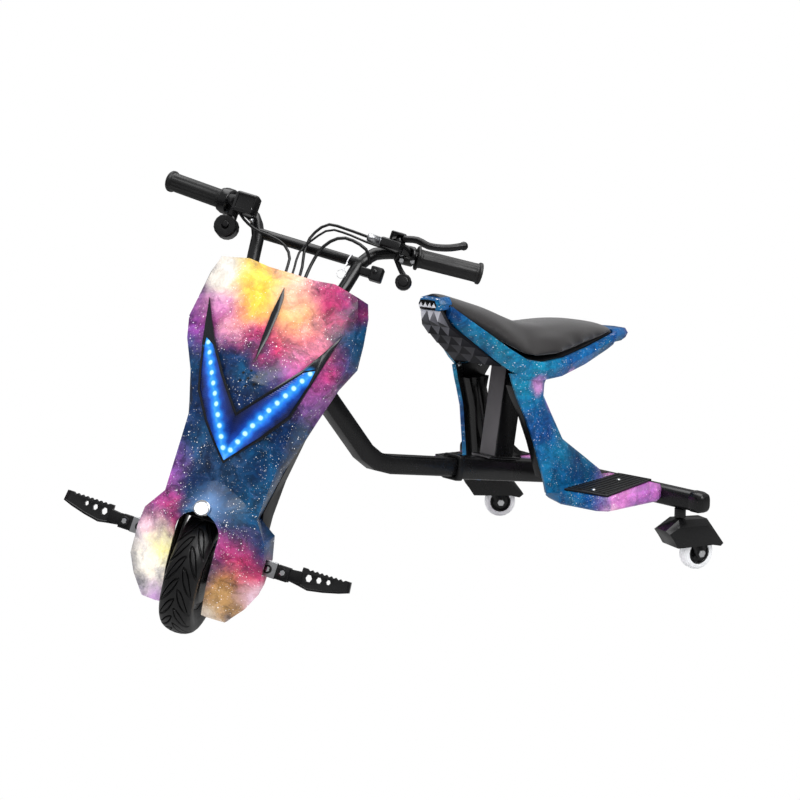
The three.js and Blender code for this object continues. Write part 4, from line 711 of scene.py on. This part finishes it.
# Painted reflection: mid grey for the front face of the seat post, standing in for the bright reflection on
# that face
paintedPostReflection = grained("paintedPostReflection", (0.085, 0.080, 0.086), 0.4, grain=1600, depth=0.00005)
acrossBar = (toWorld.to_3x3() @ Vector((1, 0, 0))).normalized()


def finishBracket(side, sign):
    edge = finishSettings["plateEnd"]
    splitAt(made["peg_bracket_" + side], toWorld @ Vector((sign * edge, 0, 0)), acrossBar)
    paintFaces(made["peg_bracket_" + side], steelBlack, lambda c, n: abs((toSteer @ c).x) > edge)


def finishAdjuster():
    edge = finishSettings["adjusterEnd"]
    splitAt(made["brake_clamp"], toWorld @ Vector((edge, 0, 0)), acrossBar)
    paintFaces(made["brake_clamp"], silverMetal, lambda c, n: (toSteer @ c).x < edge)


def finishCaster(side, place, turn):
    s = finishSettings
    middle = Vector(place)
    along = Vector((math.cos(math.radians(turn)), math.sin(math.radians(turn)), 0))

    def nearBolt(c, n):
        reach = c - middle
        out = reach.dot(along)
        return (reach - along * out).length < s["boltRadius"] and abs(out) > s["boltStart"]

    paintFaces(made["caster_fork_" + side], chromeMetal, nearBolt)


swell(made["battery_display"], finishSettings["displaySwell"])
swell(made["switch_body"], finishSettings["switchSwell"])
thicken(made["brake_lever"], finishSettings["leverSkin"])
thicken(made["brake_clamp"], finishSettings["clampSkin"])
thicken(made["throttle_housing"], finishSettings["housingSkin"])
# painted reflection on the forward-facing faces of the seat post
paintFaces(made["seat_post"], paintedPostReflection, lambda c, n: n.y < -finishSettings["postForward"])
finishBracket("left", 1)
finishBracket("right", -1)
finishAdjuster()
for side, place, turn in finishSettings["casters"]:
    finishCaster(side, place, turn)
whiteTyre = grained("whiteTyre", (0.78, 0.79, 0.80), 0.38, grain=700, depth=0.00008, strength=0.3)
for side in ("left", "right"):
    node = "caster_tyre_" + side
    settle(refined(node, 0.001, 3, 30), "caster_wheel_" + side, whiteTyre, node)
print("second finishes made")


# Front tyre: a crowned profile with curved leaf grooves

tyreSettings = {
    "hub": (0, -0.00435, 0.00706),
    "profile": [
        (-0.0172, 0.0645),
        (-0.0205, 0.069),
        (-0.0255, 0.078),
        (-0.0279, 0.0885),
        (-0.0272, 0.0955),
        (-0.0232, 0.1012),
        (-0.0165, 0.1051),
        (-0.0085, 0.1073),
        (0.0, 0.108),
    ],
    "around": 620,
    "across": 12,
    "leaves": 19,
    "sweep": 1.35,
    "leafReach": (0.0012, 0.0245),
    "bows": [(0.62, 0.085), (1.9, 0.06)],
    "depth": 0.0030,
    "treadStart": (0.090, 0.098),
    "bead": 0.0006,
    "beadRadius": 0.0805,
    "beadWidth": 0.0016,
}


def smoothStep(low, high, value):
    t = min(max((value - low) / (high - low), 0.0), 1.0)
    return t * t * (3 - 2 * t)


def grooveDepth(angle, x):
    s = tyreSettings
    side = 1 if x > 0 else -1
    low, high = s["leafReach"]
    share = (abs(x) - low) / (high - low)
    if not -0.1 < share < 1.1:
        return 0.0
    inside = min(max(share, 0.0), 1.0)
    phase = angle * s["leaves"] / (2 * math.pi) + (0.5 if side > 0 else 0.0)
    depth = 0.0
    for bow, width in s["bows"]:
        line = phase - s["sweep"] * inside ** bow
        off = abs(line - round(line))
        depth = max(depth, 1 - smoothStep(width * 0.5, width, off))
    return depth * smoothStep(-0.1, 0.05, share) * (1 - smoothStep(0.92, 1.1, share))


def makeTyre():
    s = tyreSettings
    half = [Vector((x, r)) for x, r in s["profile"]]
    full = half + [Vector((-p.x, p.y)) for p in reversed(half[:-1])]
    line = []
    for a, b in zip(full, full[1:]):
        line += [a.lerp(b, i / s["across"]) for i in range(s["across"])]
    line.append(full[-1])
    for _ in range(6):
        eased = [(a + b * 2 + c) / 4 for a, b, c in zip(line, line[1:], line[2:])]
        line = [line[0]] + eased + [line[-1]]
    verts, faces = [], []
    count = len(line)
    hub = Vector(s["hub"])
    for k in range(s["around"]):
        angle = 2 * math.pi * k / s["around"]
        for p in line:
            worn = grooveDepth(angle, p.x) * s["depth"] * smoothStep(*s["treadStart"], p.y)
            ring = s["bead"] * math.exp(-((p.y - s["beadRadius"]) / s["beadWidth"]) ** 2)
            r = p.y - worn + ring
            verts.append(toWorld @ (hub + Vector((p.x, r * math.cos(angle), r * math.sin(angle)))))
    for k in range(s["around"]):
        n = (k + 1) % s["around"]
        for i in range(count):
            j = (i + 1) % count
            faces.append((k * count + i, k * count + j, n * count + j, n * count + i))
    tyre = makeObject("tyreTread", verts, faces)
    fixNormals(tyre)
    smoothByAngle(tyre, 38)
    return tyre


tyreColor = (0.003, 0.003, 0.0034)
tyreRubber = grained("tyreRubber", tyreColor, 0.40, 1100, 0.0001, 0.4, wear=0.2, scale=24)
settle(makeTyre(), "front_wheel", tyreRubber, "front_tyre", slot="front_rubber")
print("tyre made")


# Cushion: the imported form, filled by pressure so that its cover is taut

cushionSettings = {
    "voxel": 0.006,
    "shrink": 0.0035,
    "pressure": 3.2,
    "stretch": 25,
    "bending": 5,
    "frames": 20,
    "cap": 0.009,
    "relaxSteps": 8,
    "evenSteps": 26,
    "noseFrom": 0.165,
    "noseOver": 0.07,
    "noseMove": (0, -0.018, 0.012),
    "grain": 700,
}


def inflate(obj):
    s = cushionSettings
    rest = [v.co.copy() for v in obj.data.vertices]
    cloth = obj.modifiers.new("cloth", "CLOTH")
    cloth.settings.use_pressure = True
    cloth.settings.uniform_pressure_force = s["pressure"]
    cloth.settings.effector_weights.gravity = 0
    cloth.settings.tension_stiffness = s["stretch"]
    cloth.settings.compression_stiffness = s["stretch"]
    cloth.settings.bending_stiffness = s["bending"]
    cloth.collision_settings.use_self_collision = False
    for number in range(1, s["frames"] + 1):
        bpy.context.scene.frame_set(number)
    graph = bpy.context.evaluated_depsgraph_get()
    swollen = [v.co.copy() for v in obj.evaluated_get(graph).data.vertices]
    obj.modifiers.clear()
    bpy.context.scene.frame_set(1)
    for vertex, before, after in zip(obj.data.vertices, rest, swollen):
        step = after - before
        if step.length > s["cap"]:
            step *= s["cap"] / step.length
        vertex.co = before + step


def eased(obj, steps):
    ease = obj.modifiers.new("ease", "SMOOTH")
    ease.factor = 0.5
    ease.iterations = steps
    return applyModifiers(obj)


def makeCushion():
    s = cushionSettings
    obj = cleanCopy("cushion", 0.1)
    obj.name = "cushionCover"
    remesh = obj.modifiers.new("remesh", "REMESH")
    remesh.mode = "VOXEL"
    remesh.voxel_size = s["voxel"]
    applyModifiers(obj)
    for vertex, normal in [(v, v.normal.copy()) for v in obj.data.vertices]:
        vertex.co -= normal * s["shrink"]
        share = max(s["noseFrom"] - vertex.co.y, 0) / s["noseOver"]
        vertex.co += Vector(s["noseMove"]) * share
    eased(obj, s["relaxSteps"])
    inflate(obj)
    eased(obj, s["evenSteps"])
    rounder = obj.modifiers.new("rounder", "SUBSURF")
    rounder.levels = rounder.render_levels = 1
    applyModifiers(obj)
    smoothByAngle(obj, 80)
    return obj


def vinylMaterial():
    s = Shader("vinyl")
    where = s.place()
    cells = s.cells(where, cushionSettings["grain"]).outputs["Distance"]
    fine = s.noise(where, cushionSettings["grain"] * 2.4, 2, 0.6).outputs[0]
    broad = s.noise(where, 9, 4).outputs[0]
    grain = s.sum("ADD", s.sum("MULTIPLY", cells, 0.7), s.sum("MULTIPLY", fine, 0.3))
    tone = s.mix(s.range(cells, 0.1, 0.6), (0.004, 0.003, 0.003, 1), (0.010, 0.008, 0.008, 1))
    s.set(color=tone, rough=s.range(broad, 0.3, 0.7, 0.40, 0.50), sheen=0.30, spec=0.35)
    s.bump(grain, 0.55, 0.0003)
    return s.material


cushion = makeCushion()
settle(cushion, "rear", vinylMaterial(), "cushion", slot="vinyl")
print("cushion made")


# Repeated small pieces, set out by Geometry Nodes

def joinNodes(tree, wires):
    for out, into in wires:
        tree.links.new(out, into)


def circle(sides, radius, height=0.0, start=0.0):
    turns = [start + 2 * math.pi * k / sides for k in range(sides)]
    return [(radius * math.cos(a), radius * math.sin(a), height) for a in turns]


def scatter(name, source, points, directions, material, body):
    spots = makeObject(name, points, [])
    layer = spots.data.attributes.new("facing", "FLOAT_VECTOR", "POINT")
    for item, way in zip(layer.data, directions):
        item.vector = way
    tree = bpy.data.node_groups.new(name + "Layout", "GeometryNodeTree")
    addSocket = tree.interface.new_socket
    addSocket(name="Points", in_out="INPUT", socket_type="NodeSocketGeometry")
    sourceSocket = addSocket(name="Source", in_out="INPUT", socket_type="NodeSocketObject")
    materialSocket = addSocket(name="Finish", in_out="INPUT", socket_type="NodeSocketMaterial")
    addSocket(name="Made", in_out="OUTPUT", socket_type="NodeSocketGeometry")
    start = tree.nodes.new("NodeGroupInput")
    end = tree.nodes.new("NodeGroupOutput")
    way = tree.nodes.new("GeometryNodeInputNamedAttribute")
    way.data_type = "FLOAT_VECTOR"
    way.inputs["Name"].default_value = "facing"
    turn = tree.nodes.new("FunctionNodeAlignRotationToVector")
    turn.axis = "Z"
    info = tree.nodes.new("GeometryNodeObjectInfo")
    put = tree.nodes.new("GeometryNodeInstanceOnPoints")
    real = tree.nodes.new("GeometryNodeRealizeInstances")
    paint = tree.nodes.new("GeometryNodeSetMaterial")
    joinNodes(tree, [
        (start.outputs[0], put.inputs["Points"]),
        (start.outputs[1], info.inputs["Object"]),
        (way.outputs["Attribute"], turn.inputs["Vector"]),
        (turn.outputs[0], put.inputs["Rotation"]),
        (info.outputs["Geometry"], put.inputs["Instance"]),
        (put.outputs[0], real.inputs[0]),
        (real.outputs[0], paint.inputs["Geometry"]),
        (start.outputs[2], paint.inputs["Material"]),
        (paint.outputs[0], end.inputs[0]),
    ])
    modifier = spots.modifiers.new("layout", "NODES")
    modifier.node_group = tree
    modifier[sourceSocket.identifier] = source
    modifier[materialSocket.identifier] = material
    applyModifiers(spots)
    bpy.data.objects.remove(source)
    smoothByAngle(spots, 35)
    return settle(spots, body, material)


def surfaceUnder(node):
    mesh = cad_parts[node].data
    return BVHTree.FromPolygons([v.co for v in mesh.vertices], [tuple(p.vertices) for p in mesh.polygons])


castFrom = 0.3  # well in front of the shield


def frontHit(tree, x, z):
    inFront = toWorld @ Vector((x, -castFrom, z))
    backward = (toWorld.to_3x3() @ Vector((0, 1, 0))).normalized()
    place, normal, _, _ = tree.ray_cast(inFront, backward)
    return (place, normal) if place else None


# The row of light dots in the V light

ledSettings = {
    "count": 11,
    "size": 0.0150,
    "lift": 0.0005,
    "core": 0.24,
    "rings": 3,
    "sides": 20,
    "haloColor": (0.03, 0.36, 1.0),
    "coreColor": (0.50, 0.90, 1.0),
}


def ledMaterial():
    s = Shader("ledGlow")
    near = s.node("ShaderNodeVectorMath", operation="LENGTH")
    s.link(s.attribute("disc"), near.inputs[0])
    radius = near.outputs["Value"]
    halo = s.range(radius, 1.0, 0.1)
    core = s.range(radius, ledSettings["core"] * 1.6, ledSettings["core"] * 0.5)
    tone = s.mix(core, (*ledSettings["haloColor"], 1), (*ledSettings["coreColor"], 1))
    glow = s.node("ShaderNodeEmission")
    clear = s.node("ShaderNodeBsdfTransparent")
    mix = s.node("ShaderNodeMixShader")
    joinNodes(s.tree, [
        (tone, glow.inputs[0]),
        (s.range(core, 0.0, 1.0, 1.1, 1.5), glow.inputs[1]),
        (s.sum("POWER", halo, 1.5), mix.inputs[0]),
        (clear.outputs[0], mix.inputs[1]),
        (glow.outputs[0], mix.inputs[2]),
        (mix.outputs[0], s.tree.nodes["Material Output"].inputs[0]),
    ])
    return s.material


def evenSpots(line, count):
    lengths = [0.0]
    for a, b in zip(line, line[1:]):
        lengths.append(lengths[-1] + (b - a).length)
    spots = []
    for i in range(count):
        distance = lengths[-1] * i / (count - 1)
        k = max(j for j in range(len(line) - 1) if lengths[j] <= distance + 1e-9)
        spots.append(line[k].lerp(line[k + 1], (distance - lengths[k]) / (lengths[k + 1] - lengths[k])))
    return spots


def ledDisc():
    s = ledSettings
    verts, faces = [(0, 0, 0)], []
    for r in range(1, s["rings"] + 1):
        verts += circle(s["sides"], s["size"] * r / s["rings"])
    for k in range(s["sides"]):
        n = (k + 1) % s["sides"]
        faces.append((0, 1 + k, 1 + n))
        for r in range(1, s["rings"]):
            a = 1 + (r - 1) * s["sides"]
            b = 1 + r * s["sides"]
            faces.append((a + k, b + k, b + n, a + n))
    disc = makeObject("ledDisc", verts, faces)
    layer = disc.data.attributes.new("disc", "FLOAT_VECTOR", "POINT")
    for vertex, item in zip(disc.data.vertices, layer.data):
        item.vector = vertex.co / s["size"]
    return disc


def makeLeds():
    s = ledSettings
    spots = evenSpots([Vector((x, z)) for x, z in beamLine], s["count"])
    spots += [Vector((-p.x, p.y)) for p in spots]
    target = surfaceUnder("v_light_lens")
    points, directions = [], []
    for p in spots:
        hit = frontHit(target, p.x, p.y)
        if hit:
            points.append(hit[0] + hit[1] * s["lift"])
            directions.append(hit[1])
    scatter("ledDots", ledDisc(), points, directions, ledMaterial(), "steering")
    print("light dots made", len(points))


makeLeds()


# Painted shade: dark discs laid over the speaker holes of the imported shield, standing in for the shade
# inside them

holeSettings = {
    "height": 0.324,
    "rings": [(1, 0.0), (6, 0.0134)],
    "radius": 0.0021,
    "beside": 0.0024,
    "lift": 0.0007,
    "sides": 12,
}


def makeHoles():
    s = holeSettings
    target = surfaceUnder("shield_front")
    points, directions = [], []
    for count, reach in s["rings"]:
        for x, z, _ in circle(count, reach, 0.0, math.pi / 2):
            around = circle(4, s["beside"])  # the skin beside the hole
            hits = [frontHit(target, x + dx, s["height"] + z + dz) for dx, dz, _ in around]
            hits = [hit for hit in hits if hit]
            if hits:
                facing = sum((hit[1] for hit in hits), Vector()).normalized()
                middle = sum((hit[0] for hit in hits), Vector()) / len(hits)
                points.append(middle + facing * s["lift"])
                directions.append(facing)
    disc = makeObject("holeDisc", circle(s["sides"], s["radius"]), [tuple(range(s["sides"]))])
    # painted shade: black discs over the holes, standing in for the shadow in their mouths
    scatter("speakerHoles", disc, points, directions, plasticBlack, "steering")
    print("speaker holes made", len(points))


makeHoles()


# Screws, bolts and small fittings

fittingSettings = {  # profiles are radius and height from the middle out, places are on the surface
    "pan": [
        (0.0001, 0.0012),
        (0.0012, 0.0012),
        (0.0013, 0.0026),
        (0.0030, 0.0022),
        (0.0042, 0.0010),
        (0.0043, -0.0004),
    ],
    "hex": [(0.0001, 0.0032), (0.0040, 0.0032), (0.0046, 0.0026), (0.0046, -0.0004)],
    "washer": [(0.0001, 0.0009), (0.0068, 0.0009), (0.0074, 0.0004), (0.0074, -0.0004)],
    "onWasher": 0.0008,
    "bracketBolts": [(0.112, -0.0172, 0.0435), (0.138, -0.0202, 0.0451)],
    "padScrews": [(0.1956, 0.305, 0.1645), (0.1675, 0.404, 0.1645)],
    "legScrews": [(0.0731, 0.2108, 0.3771), (0.0736, 0.2647, 0.3731)],
    "boxScrews": [(0.1245, -0.0022, 0.5655)],
    "clampBolts": [(0.1532, 0.0345, 0.6140), (0.1567, 0.0300, 0.6021), (0.1733, 0.0425, 0.6082)],
    "displayScrews": [(-0.1053, -0.0063, 0.6052), (-0.1053, 0.0083, 0.5902)],
}


def turned(name, profile, sides):
    verts, faces = [], []
    for radius, height in profile:
        verts += circle(sides, radius, height)
    for i in range(len(profile) - 1):
        for k in range(sides):
            n = (k + 1) % sides
            faces.append((i * sides + k, (i + 1) * sides + k, (i + 1) * sides + n, i * sides + n))
    last = (len(profile) - 1) * sides
    faces += [tuple(range(sides)), tuple(range(last + sides - 1, last - 1, -1))]
    piece = makeObject(name, verts, faces)
    fixNormals(piece)
    return piece


def tubeAlong(name, points, radius, sides, closed=False):
    verts, faces = [], []
    count = len(points)
    for i, p in enumerate(points):
        ahead = points[(i + 1) % count] if closed or i + 1 < count else p
        behind = points[i - 1] if closed or i else p
        way = (ahead - behind).normalized()
        side = way.cross(Vector((0.31, 0.17, 0.93))).normalized()
        lift = side.cross(way)
        verts += [p + side * x + lift * y for x, y, _ in circle(sides, radius)]
    for i in range(count if closed else count - 1):
        j = (i + 1) % count
        for k in range(sides):
            n = (k + 1) % sides
            faces.append((i * sides + k, j * sides + k, j * sides + n, i * sides + n))
    if not closed:
        faces += [tuple(range(sides)), tuple(range(count * sides - 1, (count - 1) * sides - 1, -1))]
    piece = makeObject(name, verts, faces)
    fixNormals(piece)
    smoothByAngle(piece, 40)
    return piece


def fasten(name, profile, sides, spots, way, material, body, steered=True, mirrored=True):
    points, directions = [], []
    for x, y, z in spots:
        for sign in ((1, -1) if mirrored else (1,)):
            place = Vector((x * sign, y, z))
            facing = Vector((way[0] * sign, way[1], way[2])).normalized()
            points.append(toWorld @ place if steered else place)
            directions.append(toWorld.to_3x3() @ facing if steered else facing)
    source = turned(name + "Source", profile, sides)
    return scatter(name, source, points, directions, material, body)


def fastenAll():
    s = fittingSettings
    raised = [(radius, height + s["onWasher"]) for radius, height in s["hex"]]
    forward, up = (0, -1, 0), (0, 0, 1)
    inward, slanted = (-0.99, 0, -0.11), (0.71, -0.71, 0)
    bracket = s["bracketBolts"]
    fasten("bracketWashers", s["washer"], 24, bracket, forward, steelBlack, "steering")
    fasten("bracketBolts", raised, 6, bracket, forward, chromeMetal, "steering")
    fasten("padScrews", s["pan"], 20, s["padScrews"], up, chromeMetal, "rear", False)
    fasten("legScrews", s["pan"], 20, s["legScrews"], inward, chromeMetal, "rear", False)
    singles = [
        ("boxScrews", "pan", 20, forward, steelBlack),
        ("clampBolts", "hex", 6, forward, silverMetal),
        ("displayScrews", "pan", 20, slanted, silverMetal),
    ]
    for name, profile, sides, way, material in singles:
        fasten(name, s[profile], sides, s[name], way, material, "steering", mirrored=False)


fastenAll()
print("fasteners made")


# White teeth on the saddle's nose

toothSettings = {
    "count": 4,
    "pitch": 0.0118,
    "height": 0.5035,
    "front": 0.0672,
    "profile": [(0.0001, 0.0085), (0.0052, 0.0)],
}


def makeTeeth():
    s = toothSettings
    first = -(s["count"] - 1) / 2
    spots = [((first + i) * s["pitch"], s["front"], s["height"]) for i in range(s["count"])]
    toothGrey = grained("toothGrey", (0.55, 0.56, 0.60), 0.35, grain=1500, depth=0.00004)
    fasten("noseTeeth", s["profile"], 3, spots, (0, 0, 1), toothGrey, "rear", False, False)


makeTeeth()
print("nose teeth made")


# Cable tie around the riser, with a thin split ring

tieSettings = {
    "at": (0.0725, 0.024, 0.576),
    "radius": 0.0102,
    "thick": 0.0012,
    "tailShare": 1.2,
    "tail": [
        (0.0, -0.009, -0.007),
        (-0.001, -0.012, -0.012),
        (-0.003, -0.013, -0.018),
        (-0.002, -0.012, -0.024),
    ],
    "ringAt": (0.0695, 0.010, 0.5475),
    "ringRadius": 0.0078,
    "ringThick": 0.0004,
    "slant": 0.002,
}
tieWhite = grained("tieWhite", (0.80, 0.80, 0.82), 0.35, grain=1500, depth=0.00004)


def makeTie():
    s = tieSettings
    at, ringAt = Vector(s["at"]), Vector(s["ringAt"])
    slant, ringSlant = s["slant"] / s["radius"], s["slant"] / s["ringRadius"]
    loop = [at + Vector((slant * z, y, z)) for y, z, _ in circle(36, s["radius"])]
    ring = [ringAt + Vector((x, ringSlant * z, z)) for x, z, _ in circle(40, s["ringRadius"])]
    tail = [at + Vector(p) for p in s["tail"]]
    loop, ring, tail = [[toWorld @ p for p in points] for points in (loop, ring, tail)]
    settle(tubeAlong("tieLoop", loop, s["thick"], 8, True), "steering", tieWhite)
    settle(tubeAlong("tieTail", tail, s["thick"] * s["tailShare"], 8), "steering", tieWhite)
    settle(tubeAlong("splitRing", ring, s["ringThick"], 8, True), "steering", silverMetal)


makeTie()
print("tie made")


# Stage, light and camera

stageSettings = {
    "floorHalf": 30,
    "worldStrength": 0.6,
    "worldBlue": 1.03,
    "floorSeen": (1.0, 2.0, 0.40, 0.05),  # distance and brightness of the floor in reflections
    "skySeen": [(0.0, 0.02), (0.5, 0.03), (0.62, 0.28), (0.8, 0.42), (1.0, 0.35)],
    "lights": [  # name, place, target height, size, power, seen in reflections
        ("keyLight", (2.4, -0.2, 2.6), 0.4, (2.0, 2.0), 75, True),
        ("frontLight", (0.2, -3.0, 1.6), 0.35, (1.4, 1.8), 33, False),
        ("topLight", (-0.4, 0.4, 3.0), 0.3, (2.4, 2.4), 50, True),
        ("sideLight", (-2.4, -2.0, 0.7), 0.35, (0.8, 1.8), 26, False),
    ],
}


def makeStage():
    s = stageSettings
    half = s["floorHalf"]
    corners = [(-half, -half, 0), (half, -half, 0), (half, half, 0), (-half, half, 0)]
    floor = makeObject("floor", corners, [(0, 1, 2, 3)])
    material = bpy.data.materials.new("floorWhite")
    material.use_nodes = True
    tree = material.node_tree
    tree.nodes.clear()
    out = tree.nodes.new("ShaderNodeOutputMaterial")
    clear = tree.nodes.new("ShaderNodeEmission")
    clear.inputs[0].default_value = (1, 1, 1, 1)
    clear.inputs[1].default_value = 1.0
    matte = tree.nodes.new("ShaderNodeBsdfDiffuse")
    matte.inputs[0].default_value = (0.9, 0.9, 0.9, 1)
    path = tree.nodes.new("ShaderNodeLightPath")
    mix = tree.nodes.new("ShaderNodeMixShader")
    mirrored = tree.nodes.new("ShaderNodeMixShader")
    dim = tree.nodes.new("ShaderNodeEmission")
    place = tree.nodes.new("ShaderNodeNewGeometry")
    reach = tree.nodes.new("ShaderNodeVectorMath")
    reach.operation = "LENGTH"
    fade = tree.nodes.new("ShaderNodeMapRange")
    fade.interpolation_type = "SMOOTHSTEP"
    for socket, value in zip(fade.inputs[1:5], s["floorSeen"]):
        socket.default_value = value
    joinNodes(tree, [
        (place.outputs["Position"], reach.inputs[0]),
        (reach.outputs["Value"], fade.inputs[0]),
        (fade.outputs[0], dim.inputs[1]),
        (path.outputs["Is Glossy Ray"], mirrored.inputs[0]),
        (matte.outputs[0], mirrored.inputs[1]),
        (dim.outputs[0], mirrored.inputs[2]),
        (path.outputs["Is Camera Ray"], mix.inputs[0]),
        (mirrored.outputs[0], mix.inputs[1]),
        (clear.outputs[0], mix.inputs[2]),
        (mix.outputs[0], out.inputs[0]),
    ])
    floor.data.materials.append(material)


def makeWorld():
    world = bpy.data.worlds.new("studio")
    world.use_nodes = True
    tree = world.node_tree
    back = tree.nodes["Background"]
    path = tree.nodes.new("ShaderNodeLightPath")
    place = tree.nodes.new("ShaderNodeTexCoord")
    split = tree.nodes.new("ShaderNodeSeparateXYZ")
    tree.links.new(place.outputs["Generated"], split.inputs[0])
    height = tree.nodes.new("ShaderNodeMapRange")
    height.inputs[1].default_value = -1
    tree.links.new(split.outputs[2], height.inputs[0])
    band = tree.nodes.new("ShaderNodeValToRGB")
    stops = stageSettings["skySeen"]
    while len(band.color_ramp.elements) < len(stops):
        band.color_ramp.elements.new(0.5)
    for element, (position, level) in zip(band.color_ramp.elements, stops):
        element.position = position
        element.color = (level, level, level, 1)
    tree.links.new(height.outputs[0], band.inputs[0])
    plain = stageSettings["worldStrength"]
    color = (plain, plain, plain * stageSettings["worldBlue"], 1)
    for kind, seen in (("Is Glossy Ray", band.outputs[0]), ("Is Camera Ray", (1, 1, 1, 1))):
        pick = tree.nodes.new("ShaderNodeMix")
        pick.data_type = "RGBA"
        tree.links.new(path.outputs[kind], pick.inputs[0])
        for socket, value in ((pick.inputs[6], color), (pick.inputs[7], seen)):
            if isinstance(value, tuple):
                socket.default_value = value
            else:
                tree.links.new(value, socket)
        color = pick.outputs[2]
    tree.links.new(color, back.inputs[0])
    back.inputs[1].default_value = 1.0
    bpy.context.scene.world = world


def areaLight(name, position, target, size, power, mirrored):
    data = bpy.data.lights.new(name, "AREA")
    data.shape = "RECTANGLE"
    data.size, data.size_y = size
    data.energy = power
    lamp = bpy.data.objects.new(name, data)
    lamp.location = position
    aim = Vector((0, 0, target)) - Vector(position)
    lamp.rotation_euler = aim.to_track_quat("-Z", "Y").to_euler()
    lamp.visible_glossy = mirrored
    bpy.context.scene.collection.objects.link(lamp)


cameraSettings = {
    "place": (2.0117, -1.6507, 0.7827),
    "look": (-0.7616, 0.6260, -0.1676),
    "lens": 66.08,
    "sensor": 36,
    "clipEnd": 100,
}


def makeCamera():
    s = cameraSettings
    data = bpy.data.cameras.new("camera")
    data.lens = s["lens"]
    data.sensor_width = s["sensor"]
    data.clip_end = s["clipEnd"]
    camera = bpy.data.objects.new("camera", data)
    camera.location = s["place"]
    camera.rotation_euler = Vector(s["look"]).to_track_quat("-Z", "Y").to_euler()
    bpy.context.scene.collection.objects.link(camera)
    bpy.context.scene.camera = camera


makeStage()
makeWorld()
for light in stageSettings["lights"]:
    areaLight(*light)
makeCamera()
bpy.context.scene.view_settings.view_transform = "Standard"
print("stage made")
